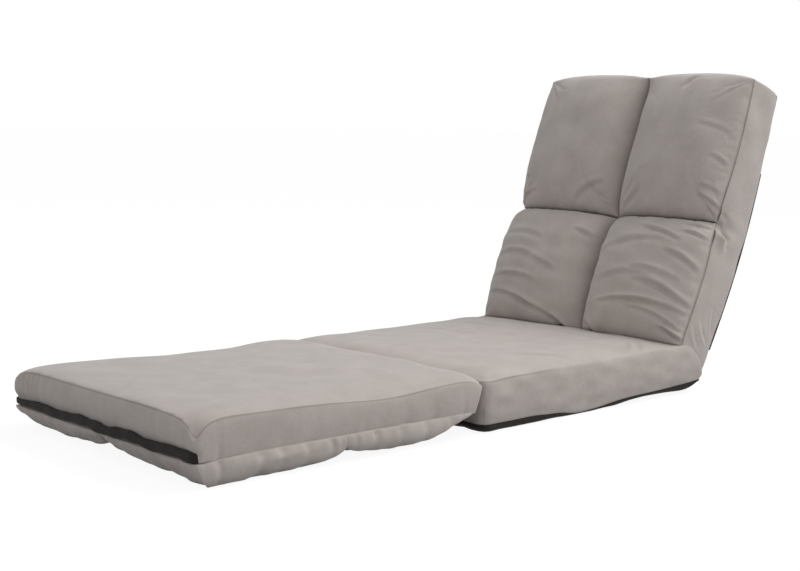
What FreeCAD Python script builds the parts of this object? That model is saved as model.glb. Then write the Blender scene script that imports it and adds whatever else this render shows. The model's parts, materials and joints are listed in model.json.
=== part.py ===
import FreeCAD, Part
import math
import os
import re
import Sketcher
from FreeCAD import Placement, Rotation, Vector

# Folding floor chair: a seat on the floor, a footrest that folds over onto it,
# and a backrest on two ratchet hinges. X is across, -Y is the foot end, Z is up,
# and the origin is the centre of the seat's flat underside.

sizes = {
    # cushions
    "section_width": (560, "width of the seat and of the footrest"),
    "back_width": (556, "width of the backrest at its fullest"),
    "seat_depth": (622, "seat, front face to rear face"),
    "fold_rim": (93.5, "height of the top seams at the fold"),
    "rear_rim": (98, "height of the seat's top where it starts to round off"),
    "foot_rim": (97.5, "height of the footrest's top seam at the foot end"),
    "crown_rise": (3.2, "how far a flat top swells above its seams"),
    "side_draw": (5, "how far the long sides are drawn in"),
    "corner_radius": (20, "corners of the seat and the footrest in plan"),
    "rear_shoulder": (65, "length over which the seat's rear end rounds off"),
    "rear_face": (45, "height of the seat's rear face below the rounding"),
    "fold_gap": (6, "gap between the seat and the footrest"),
    "fold_height": (99.3, "height of the fold line's axis"),
    "footrest_length": (587, "footrest, fold end to foot end"),
    "footrest_seam": (40, "height of the footrest's lower seam"),
    "fold_slope": (19, "how far the footrest's fold end leans in at the lower seam"),
    "pillow_rim": (11, "height of the footrest pillows' lower edge"),
    "pillow_valley": (21, "height of the valleys between the footrest pillows"),
    "flat_cut": (0.5, "depth by which a pillow is flattened on the floor"),
    "cover": (1.5, "thickness of the microsuede covers"),
    "base_cloth": (2, "thickness of the black base cloth"),
    "soft_gap": (0.3, "clearance between soft pieces"),
    "band_height": (17, "height of the black band that stands on the lower seam at the foot end"),
    "band_wrap": (12, "how far the band reaches round each corner"),
    "band_cloth": (1.2, "thickness of the black band"),
    # backrest, measured from the hinge axis along the back and from its rear face
    "lean": (22, "backward lean of the backrest from upright"),
    "slab_start": (73, "foot of the backrest's slab"),
    "back_top": (628, "top seam of the backrest"),
    "tuft_line": (315, "cross seam between the upper and lower pillows"),
    "slab_depth": (40, "foam and frame behind the pillows"),
    "boxing_depth": (91, "front seam of the boxing"),
    "pillow_crown": (127, "front of the pillows at their fullest"),
    "tuft_depth": (58, "depth at which the seams between the pillows are sewn"),
    "cross_dip": (4, "how much deeper the middle of the cross seam is sewn"),
    "upright_rise": (8, "how much shallower the upright seam is sewn"),
    "side_dip": (14, "how much deeper than the boxing's seam the cross seam ends"),
    "back_pinch": (9, "how far the backrest narrows at the cross seam"),
    "yoke_start": (456, "where the grey yoke on the rear takes over from the black panel"),
    "rear_panel": (2, "thickness of the rear panel"),
    "seat_clearance": (101.5, "height of the lower pillows' undersides"),
    # steel frames
    "tube_diameter": (19, "frame tube"),
    "tube_wall": (1.2, "wall of the frame tube"),
    "bend_radius": (55, "bends of the frame tube, on its centre line"),
    "half_span": (240, "centre of the chair to the side tubes"),
    "frame_front": (45, "seat's front face to the front tube"),
    "frame_top": (38, "backrest's top seam to the top tube"),
    "bar_diameter": (16, "cross bar tube"),
    "bar_wall": (1, "wall of the cross bar tube"),
    "seat_bar_front": (200, "seat's front face to the front cross bar"),
    "seat_bar_rear": (400, "seat's front face to the rear cross bar"),
    "back_bar_low": (190, "hinge axis to the backrest's lower cross bar"),
    "back_bar_high": (400, "hinge axis to the backrest's upper cross bar"),
    "channel_gap": (0.4, "room round the tubes in the foam"),
    "tube_slot_room": (1, "room round the side tubes where they enter the backrest"),
    "tube_slot_depth": (30, "how far that room reaches up into the backrest"),
    "corner_cut": (3, "cut corners of the flat steel plates"),
    "rivet_edge": (8, "edge of a plate to the centre of a rivet in it"),
    # ratchet hinges
    "hinge_height": (26, "hinge axis above the floor, and in front of the back's rear face"),
    "hinge_inset": (25.6, "seat's rear face to the hinge axis"),
    "gear_plate": (3.5, "thickness of the ratchet gear and the pawl"),
    "plate_gap": (0.3, "side clearance of the gear and the pawl"),
    "cheek_plate": (2, "thickness of a cheek plate"),
    "cheek_radius": (23, "round end of the cheek plates"),
    "cheek_reach": (75, "hinge axis to the square end of the cheek plates"),
    "cheek_width": (30, "width of the cheek plates' arm"),
    "gear_radius": (17, "tips of the ratchet teeth"),
    "root_radius": (13.8, "roots of the ratchet teeth"),
    "pitch": (17, "angle from one locking position to the next"),
    "notches": (6, "locking positions"),
    "notch_tip": (0.8, "width of a notch at the tips of the teeth, in pitches"),
    "notch_root": (0.3, "width of a notch at its root, in pitches"),
    "lock_angle": (225, "where the pawl meets the gear, from the rear, turning upwards"),
    "upright_steps": (1, "notches from the modelled lean to the upright stop"),
    "gear_arm": (85, "hinge axis to the end of the gear's arm"),
    "arm_width": (16, "width of the gear's arm"),
    "pivot_radius": (4, "shank of the pivot rivet"),
    "running_fit": (0.06, "radial clearance of a turning fit"),
    "press_gap": (0.03, "radial clearance of a fixed pin"),
    "head_radius": (7, "head of the pivot rivet"),
    "head_height": (1.6, "height of the rivet heads"),
    "pawl_back": (30, "hinge axis to the pawl's pin, forwards"),
    "pawl_rise": (8, "hinge axis to the pawl's pin, upwards"),
    "pawl_boss": (6, "boss of the pawl"),
    "pawl_pin_radius": (2.5, "shank of the pawl's pin"),
    "pawl_lift": (8, "angle by which the released pawl swings clear"),
    "nose_play": (0.6, "clearance of the pawl's nose in a notch"),
    "nose_tip": (0.65, "width of the nose beyond the teeth, in pitches"),
    "nose_root": (0.22, "width of the nose at the root of a notch, in pitches"),
    "nose_neck": (5, "teeth to the point where the nose's flank meets the boss"),
    "nose_heel": (1, "teeth to the heel of the nose"),
    "stop_circle": (20, "hinge axis to the stop pins"),
    "stop_radius": (2, "stop pins"),
    "stop_play": (0.3, "gap between the gear's arm and a stop pin"),
    "rivet_radius": (2, "small rivets"),
    "plug_gap": (0.1, "radial clearance of a plug in its tube"),
    "plug_length": (40, "length of a plug inside its tube"),
    "seat_tube_end": (80, "hinge axis to the seat tube's end"),
    "back_tube_end": (60, "hinge axis to the back tube's end"),
    "collar": (4, "collar of the seat plug outside the tube"),
    "fork": (12, "length of the back plug outside the tube"),
    "tongue_end": (46, "hinge axis to the end of the seat plug's tongue"),
    "tongue_width": (18, "width of the seat plug's tongue"),
    "spring_leaf": (0.8, "thickness of the pawl's leaf spring"),
    "spring_foot": (4, "hinge axis down to the spring's foot on the tongue"),
    "spring_knee_reach": (8, "tongue's end to the spring's bend, along the tongue"),
    "spring_knee_drop": (7.5, "hinge axis down to the spring's bend"),
    "spring_tip_reach": (21, "tongue's end to the spring's tip, along the tongue"),
    "spring_tip_drop": (14, "hinge axis down to the spring's tip"),
    "hinge_slot": (24, "width of the slots for the hinges in the seat"),
    "deep_slot_top": (60, "top of the slots in the foam round the seat tubes' ends"),
    "sweep_room": (18, "hinge axis to the front of the slot that the gear's arm sweeps"),
    "gusset_cloth": (1.5, "thickness of the cloth over the hinge line"),
}
overrun = 2  # how far a cutting outline runs past what it cuts

doc = FreeCAD.newDocument("FloorChair")
sheet = doc.addObject("Spreadsheet::Sheet", "Sizes")
for row, (alias, (size, note)) in enumerate(sizes.items(), start=1):
    sheet.set(f"A{row}", note)
    sheet.set(f"B{row}", str(size))
    sheet.setAlias(f"B{row}", alias)
doc.recompute()


def bind(text):
    """The names of sizes in text, as references to the sheet."""
    return re.sub(r"[a-z_]+", lambda word: f"Sizes.{word[0]}" if word[0] in sizes else word[0], text)


def value(text):
    return float(sheet.evalExpression(bind(text)))


# Places that several pieces share, as text that the sheet's cells drive.
seat_front = "(-seat_depth / 2)"
hinge_y = "(seat_depth / 2 - hinge_inset)"
fold_y = f"({seat_front} - fold_gap / 2)"
tube_radius = "(tube_diameter / 2)"
stack = "(gear_plate + 2 * plate_gap + 2 * cheek_plate)"
between_cheeks = "(gear_plate + 2 * plate_gap)"
plug_radius = f"({tube_radius} - tube_wall - plug_gap)"
pieces = {}


def keep(name, thing):
    """Give a finished sub-part its name."""
    thing.Label = name
    pieces[name] = thing
    return thing


def plane(body, role):
    return next(feature for feature in body.Origin.OriginFeatures if feature.Role == role)


def constrain(sketch, constraint, text):
    number = sketch.addConstraint(constraint)
    sketch.setExpression(f"Constraints[{number}]", bind(text))


def new_sketch(body, name, role, lift=None):
    """A sketch on one of the body's own planes, or parallel to it at the height lift."""
    sketch = body.newObject("Sketcher::SketchObject", name)
    sketch.AttachmentSupport = (plane(body, role), "")
    sketch.MapMode = "FlatFace"
    if lift:
        sketch.setExpression("AttachmentOffset.Base.z", bind(lift))
    return sketch


def polygon(body, name, role, corners, lift=None):
    """A closed outline whose corners are pairs of texts."""
    sketch = new_sketch(body, name, role, lift)
    spots = [Vector(value(first), value(second), 0) for first, second in corners]
    for number, spot in enumerate(spots):
        following = spots[(number + 1) % len(spots)]
        sketch.addGeometry(Part.LineSegment(spot, following), False)
    for number in range(len(spots)):
        following = (number + 1) % len(spots)
        sketch.addConstraint(Sketcher.Constraint("Coincident", number, 2, following, 1))
    for number, (first, second) in enumerate(corners):
        constrain(sketch, Sketcher.Constraint("DistanceX", number, 1, spots[number].x), first)
        constrain(sketch, Sketcher.Constraint("DistanceY", number, 1, spots[number].y), second)
    return sketch


def circles(body, name, role, rounds, lift=None):
    """Circles given as texts for the centre's two places and the radius."""
    sketch = new_sketch(body, name, role, lift)
    for number, (first, second, radius) in enumerate(rounds):
        centre = Vector(value(first), value(second), 0)
        sketch.addGeometry(Part.Circle(centre, Vector(0, 0, 1), value(radius)), False)
        constrain(sketch, Sketcher.Constraint("DistanceX", number, 3, centre.x), first)
        constrain(sketch, Sketcher.Constraint("DistanceY", number, 3, centre.y), second)
        constrain(sketch, Sketcher.Constraint("Radius", number, value(radius)), radius)
    return sketch


def pad(body, sketch, length, centred=True):
    feature = body.newObject("PartDesign::Pad", sketch.Name + "Pad")
    feature.Profile = sketch
    feature.Midplane = centred
    feature.setExpression("Length", bind(length))
    return feature


def pocket(body, sketch, length="hinge_slot"):
    """A cut to both sides of the sketch, which has to take something away."""
    doc.recompute()
    before = body.Shape.Volume
    feature = body.newObject("PartDesign::Pocket", sketch.Name + "Cut")
    feature.Profile = sketch
    feature.Midplane = True
    feature.setExpression("Length", bind(length))
    doc.recompute()
    if not body.Shape.Volume < before:
        raise RuntimeError(f"{feature.Name} cuts nothing")
    return feature


def new_body(name):
    return doc.addObject("PartDesign::Body", name)


def polar(radius, angle, across="0", up="0"):
    """A corner at an angle round a centre, as a pair of texts."""
    first = f"{across} + ({radius}) * cos(({angle}) * 1deg)"
    second = f"{up} + ({radius}) * sin(({angle}) * 1deg)"
    return first, second


def place(thing, x="0", y="0", z="0", tilt=None):
    """Put a piece at a place, turned backwards about X by the angle tilt."""
    turn = Rotation(Vector(-1, 0, 0), value(tilt)) if tilt else Rotation()
    thing.Placement = Placement(Vector(value(x), value(y), value(z)), turn)
    for axis, text in (("x", x), ("y", y), ("z", z)):
        thing.setExpression(f"Placement.Base.{axis}", bind(text))
    if tilt:
        thing.setExpression("Placement.Rotation.Angle", bind(f"({tilt}) * 1deg"))
    return thing


def at_hinge(thing, x="0"):
    """A piece of the seat that is drawn round the hinge axis."""
    return place(thing, x, hinge_y, "hinge_height")


def on_back(thing, x="0"):
    """A piece of the backrest, drawn upright over the hinge axis."""
    return place(thing, x, hinge_y, "hinge_height", "lean")


def box(name, low, high):
    """A block between two corners, each three texts."""
    block = doc.addObject("Part::Box", name)
    for side, axis, start, end in zip(("Length", "Width", "Height"), "xyz", low, high):
        block.setExpression(side, bind(f"({end}) - ({start})"))
        block.setExpression(f"Placement.Base.{axis}", bind(start))
    return block


def solid(name, shape):
    """A soft form whose shape is worked out from the sheet's values."""
    thing = doc.addObject("Part::Feature", name)
    thing.Shape = shape
    return thing


def fuse(name, things):
    whole = doc.addObject("Part::MultiFuse", name)
    whole.Shapes = things
    return whole


def common(name, things):
    whole = doc.addObject("Part::MultiCommon", name)
    whole.Shapes = things
    return whole


def cut(name, thing, tools):
    """Take tools from a thing, which has to lose something by it."""
    whole = doc.addObject("Part::Cut", name)
    whole.Base = thing
    whole.Tool = fuse(name + "Tools", tools) if len(tools) > 1 else tools[0]
    doc.recompute()
    if not whole.Shape.Volume < whole.Base.Shape.Volume:
        raise RuntimeError(f"{name} cuts nothing")
    return whole


def group(name, things):
    whole = doc.addObject("Part::Compound", name)
    whole.Links = things
    return whole


# Steel frames

def tube_bend(name, role, end_role, end, turn, side, lift):
    """A tube bent to a U: up one side, across at turn, and down the other.

    side is 1 where the cross run lies above the ends on the sketch, and -1 below.
    The tube is bored from its two ends to its bends.
    """
    body = new_body(name)
    route = new_sketch(body, name + "Route", role, lift)
    half, across, low = value("half_span"), value(turn), value(end)
    bend = value("bend_radius")
    shoulder = across - side * bend
    inner = half - bend
    route.addGeometry(Part.LineSegment(Vector(half, low, 0), Vector(half, shoulder, 0)), False)
    middle = bend * math.sqrt(0.5)
    for sign in (1, -1):
        knee = Vector(sign * (inner + middle), shoulder + side * middle, 0)
        start, finish = Vector(sign * half, shoulder, 0), Vector(sign * inner, across, 0)
        if sign < 0:
            start, finish = finish, start
        route.addGeometry(Part.Arc(start, knee, finish), False)
        if sign > 0:
            cross = Part.LineSegment(Vector(inner, across, 0), Vector(-inner, across, 0))
            route.addGeometry(cross, False)
    route.addGeometry(Part.LineSegment(Vector(-half, shoulder, 0), Vector(-half, low, 0)), False)
    knee_text = f"{turn} - {side} * bend_radius"
    fixed = ((0, 1, "half_span", end), (0, 2, "half_span", knee_text),
             (2, 1, "half_span - bend_radius", turn), (2, 2, "-half_span + bend_radius", turn),
             (4, 1, "-half_span", knee_text), (4, 2, "-half_span", end))
    for part, spot, first, second in fixed:
        constrain(route, Sketcher.Constraint("DistanceX", part, spot, value(first)), first)
        constrain(route, Sketcher.Constraint("DistanceY", part, spot, value(second)), second)
    end_lift = f"-({end})" if end_role == "XZ_Plane" else end
    ring = circles(body, name + "Ring", end_role, [("half_span", lift or "0", tube_radius)], end_lift)
    pipe = body.newObject("PartDesign::AdditivePipe", name + "Pipe")
    pipe.Profile = ring
    pipe.Spine = (route, [])
    bores = circles(body, name + "Bores", end_role, [
        (spot, lift or "0", f"{tube_radius} - tube_wall") for spot in ("half_span", "-half_span")],
        end_lift)
    pocket(body, bores, f"2 * abs({knee_text} - {end})")
    return body


def tube_channel(name, role, end, turn, side, lift):
    """The room that a U-shaped tube takes up in foam: a flat U with cut corners."""
    body = new_body(name)
    wide = f"({tube_radius} + channel_gap)"
    flat = f"(bend_radius + {wide}) * tan(22.5deg)"
    past = f"({end} - {side} * tube_diameter)"
    centre = f"({turn} - {side} * bend_radius)"
    right = [(f"half_span + {wide}", past), (f"half_span + {wide}", f"{centre} + {side} * {flat}"),
             (f"half_span - bend_radius + {flat}", f"{turn} + {side} * {wide}")]
    left = [(f"-({x})", y) for x, y in reversed(right)]
    inside = [(f"-half_span + {wide}", past), (f"-half_span + {wide}", centre),
              ("-half_span + bend_radius", f"{turn} - {side} * {wide}")]
    back = [(f"-({x})", y) for x, y in reversed(inside)]
    pad(body, polygon(body, name + "Outline", role, right + left + inside + back, lift), f"2 * {wide}")
    return body


seat_tube_stop = f"({hinge_y} - seat_tube_end)"
front_run = f"({seat_front} + frame_front)"
top_run = "(back_top - frame_top)"

seat_frame = tube_bend("SeatTube", "XY_Plane", "XZ_Plane", seat_tube_stop, front_run, -1, "hinge_height")
seat_channel = tube_channel("SeatChannel", "XY_Plane", seat_tube_stop, front_run, -1, "hinge_height")
back_frame = tube_bend("BackTube", "XZ_Plane", "XY_Plane", "back_tube_end", top_run, 1, None)
back_channel = tube_channel("BackChannel", "XZ_Plane", "back_tube_end", top_run, 1, None)
seat_pin_y = f"({seat_tube_stop} - plug_length / 2)"
back_pin_z = "(back_tube_end + (gear_arm - back_tube_end) / 2)"
hole = circles(seat_frame, "SeatTubeHoles", "YZ_Plane",
               [(seat_pin_y, "hinge_height", "rivet_radius + press_gap")])
pocket(seat_frame, hole, "section_width")
hole = circles(back_frame, "BackTubeHoles", "YZ_Plane", [("0", back_pin_z, "rivet_radius + press_gap")])
pocket(back_frame, hole, "section_width")
keep("seat_frame", seat_frame)
keep("back_frame", on_back(back_frame))


def cross_bars(name, spots, frame_line):
    """Cross bars between the side tubes, their ends shaped to the tubes, and their channels."""
    bars, channels = [], []
    sides = []
    for number, (y, z) in enumerate(spots, start=1):
        body = new_body(f"{name}{number}")
        rings = circles(body, f"{name}{number}Rings", "YZ_Plane",
                        [(y, z, "bar_diameter / 2"), (y, z, "bar_diameter / 2 - bar_wall")])
        pad(body, rings, "2 * half_span")
        bars.append(body)
        room = new_body(f"{name}{number}Room")
        wide = "(bar_diameter / 2 + channel_gap)"
        block = polygon(room, f"{name}{number}RoomOutline", "YZ_Plane", [
            (f"{y} - {wide}", f"{z} - {wide}"), (f"{y} + {wide}", f"{z} - {wide}"),
            (f"{y} + {wide}", f"{z} + {wide}"), (f"{y} - {wide}", f"{z} + {wide}")])
        pad(room, block, "2 * half_span")
        channels.append(room)
    for label, sign in (("Left", "-"), ("Right", "")):
        side = new_body(f"{name}{label}Side")
        ring = circles(side, f"{name}{label}Ring", *frame_line(sign))
        pad(side, ring, "4 * half_span")
        sides.append(side)
    return cut(name, group(name + "Pair", bars), sides), channels


def seat_side(sign):
    return "XZ_Plane", [(f"{sign}half_span", "hinge_height", tube_radius)]


def back_side(sign):
    return "XY_Plane", [(f"{sign}half_span", "0", tube_radius)]


seat_bars, seat_bar_rooms = cross_bars("SeatBars", [
    (f"{seat_front} + seat_bar_front", "hinge_height"),
    (f"{seat_front} + seat_bar_rear", "hinge_height")], seat_side)
back_bars, back_bar_rooms = cross_bars("BackBars", [("0", "back_bar_low"), ("0", "back_bar_high")],
                                       back_side)
keep("seat_cross_bars", seat_bars)
keep("back_cross_bars", on_back(back_bars))


# Ratchet hinges, drawn round the hinge axis, one set for each side

def rivet(name, radius, grip, head):
    """A rivet along X: two flat heads on a shank that reaches through the grip."""
    body = new_body(name)
    half = f"({grip}) / 2"
    outline = polygon(body, name + "Half", "XY_Plane", [
        (f"-{half} - head_height", "0"), (f"-{half} - head_height", head), (f"-{half}", head),
        (f"-{half}", radius), (half, radius), (half, head),
        (f"{half} + head_height", head), (f"{half} + head_height", "0")])
    turned = body.newObject("PartDesign::Revolution", name + "Turned")
    turned.Profile = outline
    turned.ReferenceAxis = (outline, ["H_Axis"])
    turned.Angle = 360
    return body


def pin(name, radius, length, x, y, z, back=False):
    """A plain pin along X, placed from the hinge axis."""
    body = new_body(name)
    pad(body, circles(body, name + "Ring", "YZ_Plane", [(y, z, radius)]), length)
    return on_back(body, x) if back else at_hinge(body, x)


upright_arm = "(90 - lean + upright_steps * pitch)"
flat_arm = "(90 - lean - (notches - 1 - upright_steps) * pitch)"
stop_swing = "asin((arm_width / 2 + stop_radius + stop_play) / stop_circle) / 1deg"
upright_stop = polar("stop_circle", f"{upright_arm} + {stop_swing}")
flat_stop = polar("stop_circle", f"{flat_arm} - {stop_swing}")
rivet_spots = ("-(cheek_reach - rivet_edge)", "-(tongue_end + rivet_edge)")
pawl_y, pawl_z = "-pawl_back", "pawl_rise"


def cheek(name, offset, x):
    """A flat steel cheek: a round eye on a square arm, with its rivet holes."""
    body = new_body(name)
    disc = circles(body, name + "Eye", "YZ_Plane", [("0", "0", "cheek_radius")], offset)
    pad(body, disc, "cheek_plate")
    arm = polygon(body, name + "Arm", "YZ_Plane", [
        ("-cheek_reach", "-cheek_width / 2 + corner_cut"),
        ("-cheek_reach + corner_cut", "-cheek_width / 2"),
        ("0", "-cheek_width / 2"), ("0", "cheek_width / 2"),
        ("-cheek_reach + corner_cut", "cheek_width / 2"),
        ("-cheek_reach", "cheek_width / 2 - corner_cut")], offset)
    pad(body, arm, "cheek_plate")
    holes = circles(body, name + "Holes", "YZ_Plane", [
        ("0", "0", "pivot_radius + press_gap"),
        (pawl_y, pawl_z, "pawl_pin_radius + press_gap"),
        (rivet_spots[0], "0", "rivet_radius + press_gap"),
        (rivet_spots[1], "0", "rivet_radius + press_gap")], offset)
    pocket(body, holes)
    return at_hinge(body, x)


def gear(name, x):
    """The ratchet gear and its arm: notches with a radial face and a ramp."""
    body = new_body(name)
    pad(body, circles(body, name + "Disc", "YZ_Plane", [("0", "0", "gear_radius")]), "gear_plate")
    arm = polygon(body, name + "Arm", "YZ_Plane", [
        ("-arm_width / 2", "0"), ("arm_width / 2", "0"),
        ("arm_width / 2", "gear_arm - corner_cut"), ("arm_width / 2 - corner_cut", "gear_arm"),
        ("-arm_width / 2 + corner_cut", "gear_arm"), ("-arm_width / 2", "gear_arm - corner_cut")])
    pad(body, arm, "gear_plate")
    face = "lock_angle + lean - upright_steps * pitch"
    outside = f"gear_radius + {overrun}"
    notch = polygon(body, name + "Notch", "YZ_Plane", [
        polar("root_radius", face), polar(outside, face),
        polar(outside, f"{face} - notch_tip * pitch"),
        polar("root_radius", f"{face} - notch_root * pitch")])
    first = pocket(body, notch)
    row = body.newObject("PartDesign::PolarPattern", name + "Notches")
    row.Originals = [first]
    row.Axis = (plane(body, "X_Axis"), [""])
    row.setExpression("Angle", bind("pitch * (notches - 1) * 1deg"))
    row.setExpression("Occurrences", bind("notches"))
    body.Tip = row
    bores = circles(body, name + "Bores", "YZ_Plane", [
        ("0", "0", "pivot_radius + running_fit"), ("0", back_pin_z, "rivet_radius + press_gap")])
    pocket(body, bores)
    return on_back(body, x)


def pawl(name, x):
    """The pawl, drawn in a notch about its own pin, then swung clear by its lift."""
    body = new_body(name)
    pad(body, circles(body, name + "Boss", "YZ_Plane", [("0", "0", "pawl_boss")]), "gear_plate")
    flank = "lock_angle - 0.6 * nose_play * 180 / (pi * root_radius)"
    nose = polygon(body, name + "Nose", "YZ_Plane", [
        polar("root_radius + nose_play", flank, "pawl_back", "-pawl_rise"),
        polar("gear_radius + nose_neck", flank, "pawl_back", "-pawl_rise"),
        polar("pawl_boss", "lock_angle"),
        polar("pawl_boss", "lock_angle - 180"),
        polar("gear_radius + nose_heel", "lock_angle - nose_tip * pitch", "pawl_back", "-pawl_rise"),
        polar("root_radius + nose_play", "lock_angle - nose_root * pitch", "pawl_back", "-pawl_rise")])
    pad(body, nose, "gear_plate")
    bore = circles(body, name + "Bore", "YZ_Plane", [("0", "0", "pawl_pin_radius + running_fit")])
    pocket(body, bore)
    return place(body, x, f"{hinge_y} - pawl_back", "hinge_height + pawl_rise", "pawl_lift")


def leaf_spring(name, x):
    """A bent strip that stands on the tongue's end and bears towards the pawl."""
    body = new_body(name)
    bends = [("-tongue_end", "-spring_foot"), ("-tongue_end + spring_knee_reach", "-spring_knee_drop"),
             ("-tongue_end + spring_tip_reach", "-spring_tip_drop")]
    lower = [(first, f"{second} - spring_leaf") for first, second in reversed(bends)]
    pad(body, polygon(body, name + "Strip", "YZ_Plane", bends + lower), "gear_plate")
    return at_hinge(body, x)


def seat_plug(name, x):
    """A plug in the seat tube, with a collar and a tongue between the cheeks."""
    body = new_body(name)
    stub = circles(body, name + "Stub", "XZ_Plane", [("0", "0", plug_radius)], "seat_tube_end")
    pad(body, stub, "plug_length", centred=False)
    ring = circles(body, name + "Collar", "XZ_Plane", [("0", "0", tube_radius)],
                   "seat_tube_end - collar")
    pad(body, ring, "collar", centred=False)
    tongue = polygon(body, name + "Tongue", "YZ_Plane", [
        ("-seat_tube_end + collar / 2", "-tongue_width / 2"), ("-tongue_end", "-tongue_width / 2"),
        ("-tongue_end", "tongue_width / 2"), ("-seat_tube_end + collar / 2", "tongue_width / 2")])
    pad(body, tongue, between_cheeks)
    holes = circles(body, name + "Holes", "YZ_Plane", [
        (rivet_spots[0], "0", "rivet_radius + press_gap"),
        (rivet_spots[1], "0", "rivet_radius + press_gap"),
        ("-seat_tube_end - plug_length / 2", "0", "rivet_radius + press_gap")])
    pocket(body, holes)
    return at_hinge(body, x)


def back_plug(name, x):
    """A plug in the back tube, forked over the gear's arm."""
    body = new_body(name)
    fork = circles(body, name + "Fork", "XY_Plane", [("0", "0", tube_radius)], "back_tube_end - fork")
    pad(body, fork, "fork", centred=False)
    stub = circles(body, name + "Stub", "XY_Plane", [("0", "0", plug_radius)], "back_tube_end")
    pad(body, stub, "plug_length", centred=False)
    below, above = f"back_tube_end - fork - {overrun}", "gear_arm + tube_slot_room"
    slot = polygon(body, name + "Slot", "YZ_Plane", [
        ("-tube_diameter", below), ("tube_diameter", below),
        ("tube_diameter", above), ("-tube_diameter", above)])
    pocket(body, slot, "gear_plate + 2 * press_gap")
    hole = circles(body, name + "Hole", "YZ_Plane", [("0", back_pin_z, "rivet_radius + press_gap")])
    pocket(body, hole)
    return on_back(body, x)


sides = (("Left", "-half_span", 1), ("Right", "half_span", -1))


def both(name, make):
    """One sub-part that holds the left and the right piece, as two separate solids."""
    return keep(name, group(f"{name}_pair", [make(label, x, inward) for label, x, inward in sides]))


cheek_offset = f"({between_cheeks} + cheek_plate) / 2"
flush = "(tube_diameter - 2 * channel_gap)"
both("hinge_cheeks_inner", lambda label, x, inward: cheek(f"Inner{label}", f"{inward} * {cheek_offset}", x))
both("hinge_cheeks_outer", lambda label, x, inward: cheek(f"Outer{label}", f"-{inward} * {cheek_offset}", x))
both("ratchet_gears", lambda label, x, inward: gear(f"Gear{label}", x))
both("pawl_springs", lambda label, x, inward: leaf_spring(f"Spring{label}", x))
both("seat_tube_plugs", lambda label, x, inward: seat_plug(f"SeatPlug{label}", x))
both("back_tube_plugs", lambda label, x, inward: back_plug(f"BackPlug{label}", x))
both("pivot_rivets", lambda label, x, inward: at_hinge(
    rivet(f"Pivot{label}", "pivot_radius", stack, "head_radius"), x))
both("pawl_pins", lambda label, x, inward: pin(
    f"PawlPin{label}", "pawl_pin_radius", stack, x, pawl_y, pawl_z))
both("back_tube_rivets", lambda label, x, inward: pin(
    f"BackPlugPin{label}", "rivet_radius", flush, x, "0", back_pin_z, back=True))
both("hinge_stop_pins", lambda label, x, inward: group(f"Stops{label}", [
    pin(f"UprightStop{label}", "stop_radius", between_cheeks, x, *upright_stop),
    pin(f"FlatStop{label}", "stop_radius", between_cheeks, x, *flat_stop)]))
both("cheek_rivets", lambda label, x, inward: group(f"CheekRivets{label}", [
    pin(f"CheekRivet{number}{label}", "rivet_radius", f"{stack} + 2 * channel_gap", x, spot, "0")
    for number, spot in enumerate(rivet_spots)]))
both("seat_tube_rivets", lambda label, x, inward: pin(
    f"SeatPlugPin{label}", "rivet_radius", flush, x, "-seat_tube_end - plug_length / 2", "0"))
for label, x, inward in sides:
    keep(f"pawl_{label.lower()}", pawl(f"Pawl{label}", x))


# Soft forms: each is a loft of sections across the chair, cut to a plan outline

def line(first, second):
    return Part.LineSegment(Vector(*first), Vector(*second)).toShape()


def arc(first, middle, second):
    return Part.Arc(Vector(*first), Vector(*middle), Vector(*second)).toShape()


def loft(wires):
    """A solid through sections, straight from each to the next."""
    return Part.makeLoft([Part.Wire(edges) for edges in wires], True, True)


def plan_prism(half, near, far, low, high, near_draw=0, far_draw=0):
    """An upright prism whose long sides are drawn in between rounded corners."""
    turn = value("corner_radius")
    draw = value("side_draw")
    middle = (near + far) / 2
    knee = turn * (1 - math.sqrt(0.5))
    edges = []
    for sign in (1, -1):
        end, other = (near, far) if sign > 0 else (far, near)
        end_draw = near_draw if sign > 0 else far_draw
        out = sign * half
        inward = out - sign * turn
        if end_draw:
            edges.append(arc((-inward, end, low), (0, end + sign * end_draw, low), (inward, end, low)))
        else:
            edges.append(line((-inward, end, low), (inward, end, low)))
        edges.append(arc((inward, end, low), (out - sign * knee, end + sign * knee, low),
                         (out, end + sign * turn, low)))
        edges.append(arc((out, end + sign * turn, low), (out - sign * draw, middle, low),
                         (out, other - sign * turn, low)))
        edges.append(arc((out, other - sign * turn, low), (out - sign * knee, other - sign * knee, low),
                         (inward, other, low)))
    return Part.Face(Part.Wire(edges)).extrude(Vector(0, 0, high - low))


edge_swell = 0.1  # share of the crown that a flat top keeps at its edges


def swell(share):
    """Share of the crown at a share of the half width: full in the middle, little at the edge."""
    return 1 - (1 - edge_swell) * share ** 2


shares = (-1, -0.7, -0.25, 0.25, 0.7, 1)
half_width = value("section_width") / 2
front, rear = value(seat_front), -value(seat_front)
reach = value("corner_radius")
knee_along, knee_down = 0.68, 0.33  # where the rear rounding turns, in shares of its length and drop


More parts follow.
